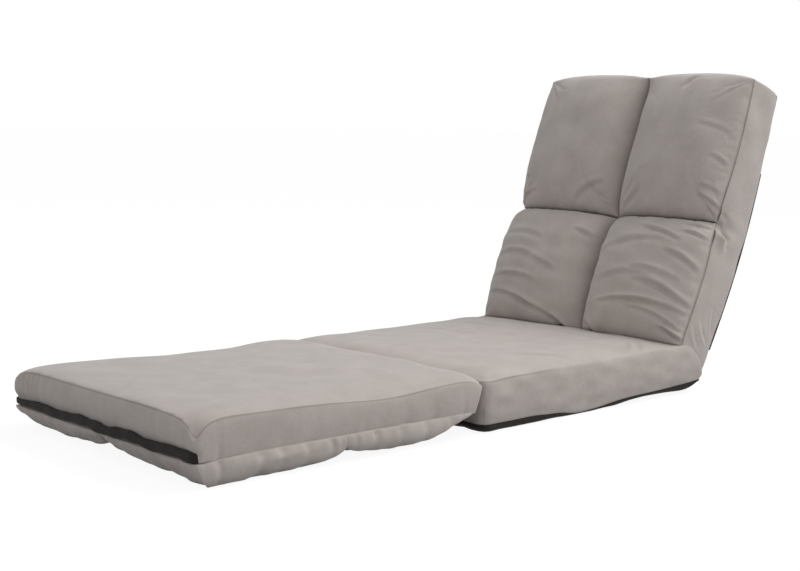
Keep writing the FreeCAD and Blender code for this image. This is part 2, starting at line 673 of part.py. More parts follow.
def seat_form(skin):
    """The seat cushion inside a skin: flat below, crowned on top, its rear end rounded."""
    rear_y = rear - skin
    start_y = rear - value("rear_shoulder")
    start_z = value("rear_rim") - skin
    end_z = value("rear_face")
    rim_z = value("fold_rim") - skin
    knee_y = start_y + knee_along * (rear_y - start_y)
    knee_z = start_z - knee_down * (start_z - end_z)
    sections = []
    for share in shares:
        x = share * (half_width + reach)
        top = (start_z + rim_z) / 2 + value("crown_rise") * swell(share)
        sections.append([
            line((x, front - reach, 0), (x, rear_y, 0)), line((x, rear_y, 0), (x, rear_y, end_z)),
            arc((x, rear_y, end_z), (x, knee_y, knee_z), (x, start_y, start_z)),
            arc((x, start_y, start_z), (x, (front + start_y) / 2, top), (x, front - reach, rim_z)),
            line((x, front - reach, rim_z), (x, front - reach, 0))])
    prism = plan_prism(half_width - skin, front + skin, rear + reach, 0, 2 * value("rear_rim"))
    return loft(sections).common(prism)


foot_y = front - value("fold_gap") - value("footrest_length")
fold_end = front - value("fold_gap")


def footrest_form(skin):
    """The footrest's boxing inside a skin: its fold end leans in, its top is crowned."""
    seam = value("footrest_seam")
    low = seam - (reach if skin > 0 else 0)
    rim_z = value("fold_rim") - skin
    foot_z = value("foot_rim") - skin
    lean_in = value("fold_slope") * (rim_z - low) / (value("fold_rim") - seam)
    fold_top = fold_end - skin
    sections = []
    for share in shares:
        x = share * (half_width + reach)
        top = (foot_z + rim_z) / 2 + value("crown_rise") * swell(share)
        sections.append([
            line((x, foot_y - reach, low), (x, fold_top - lean_in, low)),
            line((x, fold_top - lean_in, low), (x, fold_top, rim_z)),
            arc((x, fold_top, rim_z), (x, (foot_y + fold_top) / 2, top), (x, foot_y - reach, foot_z)),
            line((x, foot_y - reach, foot_z), (x, foot_y - reach, low))])
    prism = plan_prism(half_width - skin, foot_y + skin, fold_end + reach, low, 2 * foot_z,
                       near_draw=value("side_draw"))
    return loft(sections).common(prism)


skin = value("cover")
loose = skin + value("soft_gap")
beyond = "section_width"
slot_half = "hinge_slot / 2"


def hinge_slots(name, y, z_low, z_high):
    """Two boxes round the hinges, open to the rear."""
    return [box(f"{name}{label}", (f"{x} - {slot_half}", y, z_low),
                (f"{x} + {slot_half}", "seat_depth", z_high))
            for label, x in (("Left", "-half_span"), ("Right", "half_span"))]


deep_slots = hinge_slots("DeepSlot", f"{seat_tube_stop} - hinge_height / 2", "base_cloth / 2",
                         "deep_slot_top")
open_slots = hinge_slots("OpenSlot", f"{hinge_y} - cheek_radius", "hinge_height / 2", beyond)
sweep_slots = hinge_slots("SweepSlot", f"{hinge_y} - sweep_room", "hinge_height / 2", beyond)

seat_outer = solid("SeatOuter", seat_form(0))
seat_inner = solid("SeatInner", seat_form(skin))
seat_core = solid("SeatCore", seat_form(loose))
under = box("SeatUnder", (f"-{beyond}", f"-{beyond}", "-hinge_height"), (beyond, beyond, "base_cloth"))
keep("seat_base_cloth", common("SeatBaseCloth", [seat_outer, box(
    "SeatFloor", (f"-{beyond}", f"-{beyond}", "0"), (beyond, beyond, "base_cloth"))]))
keep("seat_cover", cut("SeatCover", seat_outer, [seat_inner, under] + sweep_slots))
rooms = [seat_channel] + seat_bar_rooms
lower_half = box("LowerHalf", (f"-{beyond}", f"-{beyond}", "base_cloth + soft_gap"),
                 (beyond, beyond, "hinge_height"))
upper_half = box("UpperHalf", (f"-{beyond}", f"-{beyond}", "hinge_height"), (beyond, beyond, beyond))
for name, half in (("seat_foam_lower", lower_half), ("seat_foam_upper", upper_half)):
    block = common(name + "_block", [seat_core, half])
    keep(name, cut(name + "_cut", block, rooms + deep_slots + open_slots))

# Footrest
foot_outer = solid("FootOuter", footrest_form(0))
foot_inner = solid("FootInner", footrest_form(skin))
foot_core = solid("FootCore", footrest_form(loose))
keep("footrest_cover", cut("FootCover", foot_outer, [foot_inner]))
above_seam = box("AboveSeam", (f"-{beyond}", "-3 * seat_depth", "footrest_seam + soft_gap"),
                 (beyond, beyond, beyond))
keep("footrest_foam", common("FootFoam", [foot_core, above_seam]))


def end_band():
    """A strip of black cloth that lies on the foot end's face."""
    low = value("footrest_seam")
    high = low + value("band_height")
    lift = value("band_cloth")
    draw = value("side_draw")
    around = plan_prism(half_width + lift, foot_y - lift, fold_end, low, high, near_draw=draw)
    inside = plan_prism(half_width, foot_y, fold_end, low, high, near_draw=draw)
    stretch = value("band_wrap")
    window = Part.makeBox(2 * half_width + 2 * stretch, stretch + 2 * lift, high - low,
                          Vector(-half_width - stretch, foot_y - 2 * lift, low))
    return around.cut(inside).common(window)


keep("footrest_end_band", solid("EndBand", end_band()))


def bulge(share):
    """Swelling of a stuffed form: none at its two seams, full in the middle, steep at first."""
    return math.sqrt(1 - abs(2 * share - 1) ** 3)


def blend(start, end, share):
    return start + (end - start) * share


seam_shares = (0, 0.06, 0.18, 0.36, 0.64, 0.82, 0.94, 1)


def pillow(x_start, x_end, section):
    """A pillow through sections across the chair.

    section gives, for a share of the way across, the back's two ends, the two seams and
    the crown's depth. Between the seams the face swells by the product of both bulges.
    """
    wires = []
    for share in seam_shares:
        x = blend(x_start, x_end, share)
        back_a, back_b, seam_b, seam_a, crown = section(share)
        face = []
        for along in seam_shares:
            y, z = blend(seam_b[0], seam_a[0], along), blend(seam_b[1], seam_a[1], along)
            rise = bulge(share) * bulge(along)
            face.append(Vector(x, *crown(y, z, rise)))
        corners = [Vector(x, *back_a), Vector(x, *back_b)] + face
        wires.append(Part.makePolygon(corners + corners[:1]))
    return Part.makeLoft(wires, True, True)


def footrest_pillow(side, near, far):
    """A pillow under the footrest, flattened where it lies on the floor."""
    back = value("footrest_seam") - value("soft_gap")
    valley = value("pillow_valley")
    low = -value("flat_cut")

    def section(share):
        rim = blend(valley, value("pillow_rim"), bulge(min(share, 0.5)))
        return (near, back), (far, back), (far, rim), (near, rim), lambda y, z, rise: (
            y, blend(z, low, rise))

    shape = pillow(side * value("soft_gap") / 2, side * (half_width + overrun), section)
    prism = plan_prism(half_width, foot_y, fold_end + reach, 0, back, near_draw=value("side_draw"))
    return shape.common(prism)


split = (foot_y + fold_end - value("fold_slope")) / 2
gap = value("soft_gap") / 2
for label, side in (("left", -1), ("right", 1)):
    shape = footrest_pillow(side, split + gap, fold_end - value("fold_slope"))
    keep(f"footrest_pillow_fold_{label}", solid(f"PillowFold_{label}", shape))
    shape = footrest_pillow(side, foot_y - reach, split - gap)
    keep(f"footrest_pillow_foot_{label}", solid(f"PillowFoot_{label}", shape))


# Backrest, drawn upright over the hinge axis: -Y is its front, Z runs up the back

def back_prism(inset, rear_n, front_n):
    """The backrest's outline, pinched where its seams end, between two depths."""
    half = value("back_width") / 2 - inset
    low = value("slab_start") + inset
    top = value("back_top") - inset
    tuft = value("tuft_line")
    pinch = half - value("back_pinch")
    shrink = value("back_pinch") / 2
    y = value("hinge_height") - front_n
    right = [(half - shrink, low), (half, (low + tuft) / 2), (pinch, tuft),
             (half, (tuft + top) / 2), (half - shrink, top)]
    head = [(half - shrink, top), (half / 2, top + shrink), (0, top - shrink / 2),
            (-half / 2, top + shrink), (-half + shrink, top)]
    left = [(-x, z) for x, z in reversed(right)]
    edges = []
    for run in (right, head, left):
        spots = [(x, y, z) for x, z in run]
        edges.append(arc(spots[0], spots[1], spots[2]))
        edges.append(arc(spots[2], spots[3], spots[4]))
    edges.append(line((-half + shrink, y, low), (half - shrink, y, low)))
    return Part.Face(Part.Wire(edges)).extrude(Vector(0, front_n - rear_n, 0))


slab = value("slab_depth")
panel = value("rear_panel")
tuft = value("tuft_line")
back_ring = solid("BackRing", back_prism(0, panel, slab).cut(back_prism(skin, 0, slab + panel)))
back_panel = solid("BackPanel", back_prism(0, 0, panel))
back_core = solid("BackCore", back_prism(loose, panel + value("soft_gap"), slab))
slot_wide = f"({tube_radius} + tube_slot_room)"
tube_slots = [box(f"TubeSlot{label}", (f"{x} - {slot_wide}", f"-{slot_wide}", "0"),
                  (f"{x} + {slot_wide}", slot_wide, "slab_start + tube_slot_depth"))
              for label, x in (("Left", "-half_span"), ("Right", "half_span"))]
keep("back_side_band", on_back(cut("BackSideBand", back_ring, tube_slots)))
yoke_step = box("YokeStep", (f"-{beyond}", f"-{beyond}", "yoke_start"), (beyond, beyond, "2 * back_top"))
keep("back_rear_yoke", on_back(common("BackRearYoke", [back_panel, yoke_step])))
keep("back_rear_panel", on_back(cut("BackRearPanel", back_panel, [yoke_step])))
rooms = [back_channel] + back_bar_rooms
rear_layer = box("RearLayer", (f"-{beyond}", "0", "0"), (beyond, beyond, "2 * back_top"))
front_layer = box("FrontLayer", (f"-{beyond}", f"-{beyond}", "0"), (beyond, "0", "2 * back_top"))
for name, layer in (("back_foam_rear", rear_layer), ("back_foam_front", front_layer)):
    block = common(name + "_block", [back_core, layer])
    keep(name, on_back(cut(name + "_cut", block, rooms + tube_slots)))


def seat_line(spot_n):
    """Place up the back where a depth meets the level of the lower pillows' undersides."""
    tilt = math.radians(value("lean"))
    rise = value("seat_clearance") - value("hinge_height")
    return (rise - (spot_n - value("hinge_height")) * math.sin(tilt)) / math.cos(tilt)


def back_pillow(side, upper):
    """One of the backrest's four pillows, sewn down at the cross of seams."""
    hinge = value("hinge_height")
    back_n = slab + value("soft_gap")
    boxing = value("boxing_depth")
    seam = value("tuft_depth")
    half = value("back_width") / 2
    sewn = tuft + gap if upper else tuft - gap

    def section(share):
        rim_n = blend(seam + value("upright_rise"), boxing, bulge(min(share, 0.5)))
        sewn_n = blend(seam - value("cross_dip"), boxing - value("side_dip"), share ** 4)
        far = value("back_top") + value("back_pinch") if upper else seat_line(rim_n)
        far_back = far if upper else seat_line(back_n)
        return ((hinge - back_n, sewn), (hinge - back_n, far_back), (hinge - rim_n, far),
                (hinge - sewn_n, sewn),
                lambda y, z, rise: (blend(y, hinge - value("pillow_crown"), rise), z))

    shape = pillow(side * value("soft_gap") / 2, side * (half + overrun), section)
    outline = back_prism(0, back_n, 2 * value("pillow_crown"))
    if upper:
        return shape.common(outline)
    skirt = outline.copy()
    skirt.translate(Vector(0, 0, -value("slab_start") / 2))
    foot = Part.makeBox(4 * half, 8 * half, tuft, Vector(-2 * half, -4 * half, 0))
    return shape.common(outline.fuse(skirt)).common(foot)


for label, side in (("left", -1), ("right", 1)):
    for level, upper in (("upper", True), ("lower", False)):
        shape = back_pillow(side, upper)
        keep(f"back_pillow_{level}_{label}", on_back(solid(f"BackPillow_{level}_{label}", shape)))


# Cloth over the two fold lines

def fold_strip():
    """The cloth that joins the two top seams across the fold."""
    thick = value("gusset_cloth")
    play = value("soft_gap")
    half = half_width - 2 * value("corner_radius")
    low = value("fold_rim") - thick - play
    return Part.makeBox(2 * half, value("fold_gap") - 2 * play, thick,
                        Vector(-half, fold_end + play, low))


def hinge_cloth():
    """The black cloth that runs from the base, round the hinge line, to the rear panel."""
    thick = value("gusset_cloth")
    tilt = math.radians(value("lean"))
    play = value("soft_gap")
    half = value("back_width") / 2 - value("corner_radius")
    foot = (rear + play, value("base_cloth") / 2)
    rise = value("slab_start") - thick
    back = value("hinge_height")
    top_y = value(hinge_y) + rise * math.sin(tilt) + (back - panel) * math.cos(tilt)
    top_z = value("hinge_height") + rise * math.cos(tilt) - (back - panel) * math.sin(tilt)
    out_share, up_share = 0.32, 0.45  # where the cloth bows out most, between its two edges
    bowed = (rear + out_share * (top_y - rear) + thick, up_share * top_z)
    inner = (foot, bowed, (top_y, top_z))
    outer = [(y + thick, z) for y, z in inner]
    wires = []
    for x in (-half, half):
        a, b, c = ((x, *spot) for spot in inner)
        d, e, f = ((x, *spot) for spot in outer)
        wires.append([arc(a, b, c), line(c, f), arc(f, e, d), line(d, a)])
    return loft(wires)


keep("fold_hinge_cloth", solid("FoldStrip", fold_strip()))
keep("back_hinge_cloth", solid("HingeCloth", hinge_cloth()))

# Check every object, then write the sub-parts
doc.recompute()
for thing in doc.Objects:
    if "Invalid" in thing.State or "Error" in thing.State:
        raise RuntimeError(f"{thing.Name} failed")
os.makedirs("parts", exist_ok=True)
for name, thing in pieces.items():
    if thing.Shape.isNull() or not thing.Shape.isValid() or thing.Shape.Volume <= 0:
        raise RuntimeError(f"{name} has no valid shape")
for name, thing in pieces.items():
    thing.Shape.exportStep(f"parts/{name}.step")
print(len(pieces), "sub-parts written")
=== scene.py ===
import json
import math
import bpy
import numpy as np
from mathutils import Matrix, Vector

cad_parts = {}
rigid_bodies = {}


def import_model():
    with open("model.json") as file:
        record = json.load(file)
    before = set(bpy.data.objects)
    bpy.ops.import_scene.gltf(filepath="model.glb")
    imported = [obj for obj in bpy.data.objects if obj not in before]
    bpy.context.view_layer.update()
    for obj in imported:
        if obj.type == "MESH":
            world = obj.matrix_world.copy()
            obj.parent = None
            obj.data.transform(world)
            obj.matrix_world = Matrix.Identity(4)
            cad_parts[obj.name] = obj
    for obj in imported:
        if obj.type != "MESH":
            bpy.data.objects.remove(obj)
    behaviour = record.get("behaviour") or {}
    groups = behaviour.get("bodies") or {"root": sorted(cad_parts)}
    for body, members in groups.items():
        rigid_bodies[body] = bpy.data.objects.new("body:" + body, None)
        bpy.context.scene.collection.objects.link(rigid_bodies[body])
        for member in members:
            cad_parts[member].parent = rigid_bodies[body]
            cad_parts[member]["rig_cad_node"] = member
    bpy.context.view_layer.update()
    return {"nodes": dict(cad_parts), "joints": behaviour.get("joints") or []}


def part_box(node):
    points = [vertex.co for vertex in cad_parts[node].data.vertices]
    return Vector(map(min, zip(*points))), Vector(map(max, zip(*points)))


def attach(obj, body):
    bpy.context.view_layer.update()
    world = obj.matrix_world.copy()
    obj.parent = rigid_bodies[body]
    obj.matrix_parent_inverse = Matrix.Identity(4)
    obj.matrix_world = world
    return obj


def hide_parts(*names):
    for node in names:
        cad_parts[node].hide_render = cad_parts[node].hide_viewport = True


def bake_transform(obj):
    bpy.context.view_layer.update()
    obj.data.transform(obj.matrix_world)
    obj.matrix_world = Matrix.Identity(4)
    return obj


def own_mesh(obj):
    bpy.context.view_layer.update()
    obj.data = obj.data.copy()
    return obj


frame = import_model()
print("frame loaded,", len(frame["nodes"]), "nodes")

scene = bpy.context.scene
scene.view_settings.view_transform = "Standard"
joints = {joint["name"]: joint for joint in frame["joints"]}
hinge = np.array(joints["back_recline"]["pos_m"], float)
lean = math.radians(22)                                       # the backrest at rest, from upright
backUp = np.array([0, math.sin(lean), math.cos(lean)])        # up the backrest
backOut = np.array([0, -math.cos(lean), math.sin(lean)])      # from its rear towards the sitter


# Materials: every colour is an sRGB hex value, every pattern a real size

def linear(text):
    parts = [int(text[place:place + 2], 16) / 255 for place in (1, 3, 5)]
    return [part / 12.92 if part <= 0.04045 else ((part + 0.055) / 1.055) ** 2.4 for part in parts] + [1]


def addNode(tree, kind, values=None, links=None, **settings):
    node = tree.nodes.new(kind)
    for name, setting in settings.items():
        setattr(node, name, setting)
    for name, number in (values or {}).items():
        node.inputs[name].default_value = number
    for name, output in (links or {}).items():
        tree.links.new(output, node.inputs[name])
    return node


def newMaterial(name, **surface):
    # a material with its shader, and the object's own coordinates in metres
    material = bpy.data.materials.new(name)
    material.use_nodes = True
    tree = material.node_tree
    shader = tree.nodes["Principled BSDF"]
    for setting, number in surface.items():
        shader.inputs[setting.replace("_", " ")].default_value = number
    place = addNode(tree, "ShaderNodeTexCoord").outputs["Object"]
    return material, tree, shader, place


def noiseOf(tree, place, size, detail, **more):
    # soft noise with features of about one size in metres
    return addNode(tree, "ShaderNodeTexNoise", {"Scale": 1 / size, "Detail": detail, **more},
                   {"Vector": place}).outputs["Fac"]


def bumpOf(tree, height, strength, distance, over=None):
    # surface relief from a height, laid over a coarser relief where one is given
    links = {"Height": height, "Normal": over} if over else {"Height": height}
    relief = addNode(tree, "ShaderNodeBump", {"Strength": strength, "Distance": distance}, links)
    return relief.outputs["Normal"]


def bandsOf(tree, place, direction, period):
    # straight bands, one per period in metres; the wave texture makes 20 / 2 pi bands per unit
    scale = 2 * math.pi / (20 * period)
    return addNode(tree, "ShaderNodeTexWave", {"Scale": scale, "Distortion": 0.6, "Detail": 1},
                   {"Vector": place}, bands_direction=direction).outputs["Fac"]


suede = {
    "light": "#B6AEA9",    # nap lying towards the light
    "dark": "#ADA5A0",     # nap lying away from it
    "seam": "#857D77",     # painted shade down in a seam
    "patch": 0.055,        # size of the brushed patches
    "mottle": 0.006,       # size of the finer clouding
    "grain": 0.0011,       # fibre tufts, drawn three times too coarse, or they would not show
}


def microsuede():
    # microsuede, a brushed polyester knit: matt, softly clouded where the nap lies both ways,
    # a little lighter at grazing angles, with painted shade darkening it down in its seams
    material, tree, shader, place = newMaterial(
        "microsuedeBrushed", Roughness=0.92, Specular_IOR_Level=0.2,
        Sheen_Weight=0.25, Sheen_Roughness=0.45)
    patch = noiseOf(tree, place, suede["patch"], detail=3, Roughness=0.6)
    mottle = noiseOf(tree, place, suede["mottle"], detail=3)
    grain = noiseOf(tree, place, suede["grain"], detail=2)
    both = addNode(tree, "ShaderNodeMath", {1: 0.35}, {0: mottle, 2: patch}, operation="MULTIPLY_ADD")
    share = addNode(tree, "ShaderNodeMapRange", {"From Min": 0.5, "From Max": 0.85},
                    {"Value": both.outputs["Value"]}).outputs["Result"]
    cloud = addNode(tree, "ShaderNodeMix", {6: linear(suede["dark"]), 7: linear(suede["light"])},
                    {0: share}, data_type="RGBA")
    # painted shade: the seam strength mixes the cloth towards the darker seam colour, as if shade fell in the
    # seam
    seam = addNode(tree, "ShaderNodeAttribute", attribute_name="seam").outputs["Fac"]
    depth = addNode(tree, "ShaderNodeMapRange", {"From Min": 0.35, "From Max": 1, "To Max": 0.75},
                    {"Value": seam}).outputs["Result"]
    shade = addNode(tree, "ShaderNodeMix", {7: linear(suede["seam"])},
                    {0: depth, 6: cloud.outputs[2]}, data_type="RGBA")
    tree.links.new(shade.outputs[2], shader.inputs["Base Color"])
    soft = bumpOf(tree, mottle, strength=0.35, distance=0.0012)
    fine = bumpOf(tree, grain, strength=0.3, distance=0.0003, over=soft)
    tree.links.new(fine, shader.inputs["Normal"])
    return material


def wovenCloth():
    # black woven polyester lining: dull, faintly ribbed by its threads, a little dusty
    material, tree, shader, place = newMaterial(
        "polyesterWovenBlack", Roughness=0.85, Specular_IOR_Level=0.25, Sheen_Weight=0.06)
    thread = 0.0012        # thread spacing, drawn twice too coarse so that it shows
    warp = bandsOf(tree, place, "X", thread)
    weft = bandsOf(tree, place, "DIAGONAL", thread)
    weave = addNode(tree, "ShaderNodeMath", links={0: warp, 1: weft}, operation="MAXIMUM").outputs["Value"]
    dust = noiseOf(tree, place, 0.03, detail=4)
    colour = addNode(tree, "ShaderNodeMix", {6: linear("#1D1A17"), 7: linear("#2B2723")},
                     {0: dust}, data_type="RGBA")
    tree.links.new(colour.outputs[2], shader.inputs["Base Color"])
    ribs = bumpOf(tree, weave, strength=0.5, distance=0.0004)
    tree.links.new(ribs, shader.inputs["Normal"])
    return material


def metal(name, dark, light, roughness, spread, scratch, metallic=1.0):
    # sheet and wire metal: its sheen varies in patches, with fine drawn scratches
    material, tree, shader, place = newMaterial(name, Metallic=metallic)
    patch = noiseOf(tree, place, 0.012, detail=4)
    colour = addNode(tree, "ShaderNodeMix", {6: linear(dark), 7: linear(light)}, {0: patch}, data_type="RGBA")
    tree.links.new(colour.outputs[2], shader.inputs["Base Color"])
    dull = addNode(tree, "ShaderNodeMapRange", {"To Min": roughness, "To Max": roughness + spread},
                   {"Value": patch}).outputs["Result"]
    tree.links.new(dull, shader.inputs["Roughness"])
    lines = noiseOf(tree, place, scratch, detail=2)
    drawn = bumpOf(tree, lines, strength=0.15, distance=0.0001)
    tree.links.new(drawn, shader.inputs["Normal"])
    return material


suedeCloth = microsuede()
blackCloth = wovenCloth()
tubeSteel = metal("steelPowderCoatedBlack", "#1C1C1E", "#262628",
                  roughness=0.42, spread=0.15, scratch=0.0009, metallic=0)
zincSteel = metal("steelZincPlated", "#A9A9A4", "#C9C8C2", roughness=0.28, spread=0.2, scratch=0.0005)
springSteel = metal("steelSpringBlued", "#4B505C", "#6A6F7C", roughness=0.3, spread=0.1, scratch=0.0004)
hardware = {
    tubeSteel: ("seat_frame", "seat_cross_bars", "back_frame", "back_cross_bars"),
    springSteel: ("pawl_springs",),
    zincSteel: ("hinge_cheeks_inner", "hinge_cheeks_outer", "pivot_rivets", "pawl_pins", "hinge_stop_pins",
                "seat_tube_plugs", "cheek_rivets", "seat_tube_rivets", "ratchet_gears", "back_tube_plugs",
                "back_tube_rivets", "pawl_left", "pawl_right"),
}
for material, names in hardware.items():
    for name in names:
        node = frame["nodes"][name]
        node.data.materials.clear()
        node.data.materials.append(material)
print("materials made")


# Surfaces: each soft piece starts as the skin of a box of steps, whose points a formula moves

def boxSkin(*counts):
    # the points and four-sided faces on the skin of a box of whole steps, faces turned outwards
    corners = []
    for axis in range(3):
        first, second = (axis + 1) % 3, (axis + 2) % 3
        grid = np.meshgrid(np.arange(counts[first]), np.arange(counts[second]), indexing="ij")
        for side in (0, 1):
            square = np.zeros((grid[0].size, 4, 3), int)
            for place, (one, two) in enumerate(((0, 0), (1, 0), (1, 1), (0, 1))):
                square[:, place, axis] = side * counts[axis]
                square[:, place, first] = grid[0].ravel() + one
                square[:, place, second] = grid[1].ravel() + two
            corners.append(square if side else square[:, ::-1])
    corners = np.concatenate(corners)
    stride = np.array([1, counts[0] + 1, (counts[0] + 1) * (counts[1] + 1)])
    keys, faces = np.unique(corners @ stride, return_inverse=True)
    steps = np.stack([keys % stride[1], keys // stride[1] % (counts[1] + 1), keys // stride[2]], 1)
    return (steps / np.array(counts)).T, faces.reshape(-1, 4)


def unit(value):
    # held between 0 and 1
    return np.clip(value, 0, 1)


def ease(share, hold=0.5):
    # shares of the way, closer together towards both ends
    return share - hold * np.sin(2 * np.pi * share) / (2 * np.pi)


def bulge(share, power=2.6):
    # swelling between two seams: none at either, steep beside them, full in the middle
    return np.sqrt(unit(1 - np.abs(2 * share - 1) ** power))


def hump(share):
    # half a wave: none at 0 and 1, full in the middle
    return unit(np.sin(np.pi * share))


def onEnd(share):
    return (share == 0) | (share == 1)


def bump(distance, width):
    return np.exp(-(distance / width) ** 2)


def wander(first, second, size, seed):
    # soft unevenness: a sum of ten waves of about one size, in directions drawn from the seed
    draw = np.random.default_rng(seed)
    total = np.zeros(np.broadcast(first, second).shape)
    for turn, start, stretch in draw.uniform((0, 0, 0.7), (2 * np.pi, 2 * np.pi, 1.5), (10, 3)):
        way = first * math.cos(turn) + second * math.sin(turn)
        total += np.sin(2 * np.pi / (size * stretch) * way + start)
    return total / 10 ** 0.5


def folds(first, second, lines):
    # creases in a face: each runs from one point to another, bowed to one side; across it the
    # cloth dips and rises again beside the dip, and both fade towards its ends
    rise = np.zeros_like(first)
    for startX, startY, endX, endY, bow, width, depth in np.array(lines) * 0.001:
        alongX, alongY = endX - startX, endY - startY
        length = math.hypot(alongX, alongY)
        share = ((first - startX) * alongX + (second - startY) * alongY) / length ** 2
        side = ((second - startY) * alongX - (first - startX) * alongY) / length
        side -= bow * 4 * share * (1 - share)
        fade = hump(unit(share)) ** 0.7
        rise += fade * depth * (0.9 * bump(side - 1.3 * width, 0.9 * width) - 1.2 * bump(side, 0.75 * width))
    return rise


def gathers(along, away, spots):
    # dents square to a seam at chosen places, in millimetres: place, width, reach, depth
    rise = np.zeros(np.broadcast(along, away).shape)
    for place, width, far, depth in np.array(spots) * 0.001:
        rise -= depth * bump(along - place, width) * np.exp(-np.abs(away) / far)
    return rise


def pleats(along, away, length, spacing, reach, depth, seed):
    # short gathers that run square to a seam: dents along it, uneven in place, width and reach
    draw = np.random.default_rng(seed)
    rise = np.zeros(np.broadcast(along, away).shape)
    for number in range(int(length / spacing)):
        spot = (number + draw.uniform(0.1, 0.9)) * spacing
        width = spacing * draw.uniform(0.13, 0.3)
        far = reach * draw.uniform(0.35, 1)
        rise -= depth * draw.uniform(0.3, 1) * bump(along - spot, width) * np.exp(-np.abs(away) / far)
    return rise


def roundPlan(x, y, halfX, lowY, highY, radius):
    # rounds a plan's corners: what lies in a corner square is drawn onto a quarter disc
    halfY, midY = (highY - lowY) / 2, (highY + lowY) / 2
    acrossX = unit((np.abs(x) - halfX + radius) / radius)
    acrossY = unit((np.abs(y - midY) - halfY + radius) / radius)
    plainX = np.abs(x) - radius * acrossX
    plainY = np.abs(y - midY) - radius * acrossY
    roundX = plainX + radius * acrossX * np.sqrt(1 - acrossY ** 2 / 2)
    roundY = plainY + radius * acrossY * np.sqrt(1 - acrossX ** 2 / 2)
    return np.sign(x) * roundX, midY + np.sign(y - midY) * roundY


def makePiece(name, points, faces, material):
    mesh = bpy.data.meshes.new(name)
    mesh.from_pydata(points.tolist(), [], faces.tolist())
    mesh.materials.append(material)
    mesh.shade_smooth()
    piece = bpy.data.objects.new(name, mesh)
    scene.collection.objects.link(piece)
    return piece


def pointsOf(piece, source=None):
    mesh = source or piece.data
    points = np.empty(len(mesh.vertices) * 3)
    mesh.vertices.foreach_get("co", points)
    return points.reshape(-1, 3)


def setPoints(piece, points):
    piece.data.vertices.foreach_set("co", points.ravel())
    piece.data.update()


def pushOut(piece, amount):
    # moves every point along the surface's normal
    normals = np.empty(len(piece.data.vertices) * 3)
    piece.data.vertex_normals.foreach_get("vector", normals)
    setPoints(piece, pointsOf(piece) + normals.reshape(-1, 3) * amount[:, None])


def markSeam(piece, onSeam):
    # seam points carry their strength for the painted shade, and strong seams stay crisp when subdivided
    mesh = piece.data
    shade = mesh.attributes.new("seam", "FLOAT", "POINT")
    shade.data.foreach_set("value", onSeam.astype(np.float32))
    ends = np.empty(len(mesh.edges) * 2, int)
    mesh.edges.foreach_get("vertices", ends)
    crisp = mesh.attributes.new("crease_edge", "FLOAT", "EDGE")
    crisp.data.foreach_set("value", onSeam[ends.reshape(-1, 2)].min(1).astype(np.float32) * 0.8)


def subdivide(piece):
    finish = piece.modifiers.new("Subdivision", "SUBSURF")
    finish.levels = finish.render_levels = 1


clothJobs = []
cloth = {
    "frames": 22, "mass": 0.25, "tension": 12, "bending": 0.15, "shear": 4,
    # how fast a slab's seams, a slab's faces and a footrest pillow's face are held in place
    "seamHold": 0.9, "slabHold": 0.12, "pillowHold": 0.05,
}
slabAmple = np.array([1.02, 1.02, 1])        # a slab's cover is cut wider and longer than the slab


def stuff(piece, sewn, cut, pressure, reach):
    # puts a piece in the queue for the cloth run: how fast each point is sewn down, the cloth's
    # points as it was cut, the pressure of the filling, and how far a point may move
    clothJobs.append((piece, sewn, cut, pressure, reach))


def runCloth():
    for piece, sewn, cut, pressure, reach in clothJobs:
        piece.shape_key_add(name="start")
        pattern = piece.shape_key_add(name="cut")
        pattern.data.foreach_set("co", cut.ravel())
        group = piece.vertex_groups.new(name="sewn")
        levels = np.round(sewn, 2)
        for level in np.unique(levels):
            group.add(np.flatnonzero(levels == level).tolist(), float(level), "REPLACE")
        modifier = piece.modifiers.new("Cloth", "CLOTH")
        modifier.point_cache.frame_end = cloth["frames"]
        settings = modifier.settings
        settings.quality = 6
        settings.mass = cloth["mass"]
        settings.tension_stiffness = settings.compression_stiffness = cloth["tension"]
        settings.shear_stiffness = cloth["shear"]
        settings.bending_stiffness = cloth["bending"]
        settings.air_damping = 2
        settings.use_pressure = True
        settings.uniform_pressure_force = pressure
        settings.effector_weights.gravity = 0
        settings.vertex_group_mass = "sewn"
        settings.pin_stiffness = 2
        settings.rest_shape_key = pattern
        modifier.collision_settings.use_collision = False
    for number in range(1, cloth["frames"] + 1):
        scene.frame_set(number)
    graph = bpy.context.evaluated_depsgraph_get()
    settled = [pointsOf(None, job[0].evaluated_get(graph).data) for job in clothJobs]
    for (piece, sewn, cut, pressure, reach), points in zip(clothJobs, settled):
        piece.modifiers.clear()
        piece.shape_key_clear()
        piece.vertex_groups.clear()
        start = pointsOf(piece)
        move = points - start
        length = np.linalg.norm(move, axis=1, keepdims=True)
        print("  cloth", piece.name, "moved up to", round(float(length.max()) * 1000, 1), "mm")
        setPoints(piece, start + move * np.minimum(1, reach / np.maximum(length, 1e-9)))
    scene.frame_set(1)


# Seat cushion: flat below, softly crowned, its rear end rounded off under the backrest

# In the dictionaries of lengths a rim is the height of a top seam, a crown lifts the middle of a
# face, a roll rounds its edge off, a draw or pinch pulls a side in and a swell pushes it out
seat = {
    "corner": 0.020, "sideDraw": 0.005, "frontRim": 0.0935, "rearRim": 0.098,
    "shoulder": 0.065, "shoulderLength": 0.088, "rearFace": 0.045, "crown": 0.004,
    "roll": 0.008, "rollReach": 0.018, "swell": 0.0045, "skirt": 0.0135, "skirtLift": 0.012,
    "skirtSag": 0.010, "sideSag": 0.004, "frontDip": 0.004, "roundness": 2 / 1.8,
}
base = {
    "low": 0.0004, "lift": 0.012, "rearLift": 0.010, "sag": 0.006, "inset": 0.003, "edgeReach": 0.05,
    "lump": 0.003, "swell": 0.005, "overlap": 0.003,
}
seatLow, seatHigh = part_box("seat_cover")
seatHalf = seatHigh.x
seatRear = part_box("seat_foam_upper")[1].y + 0.0018


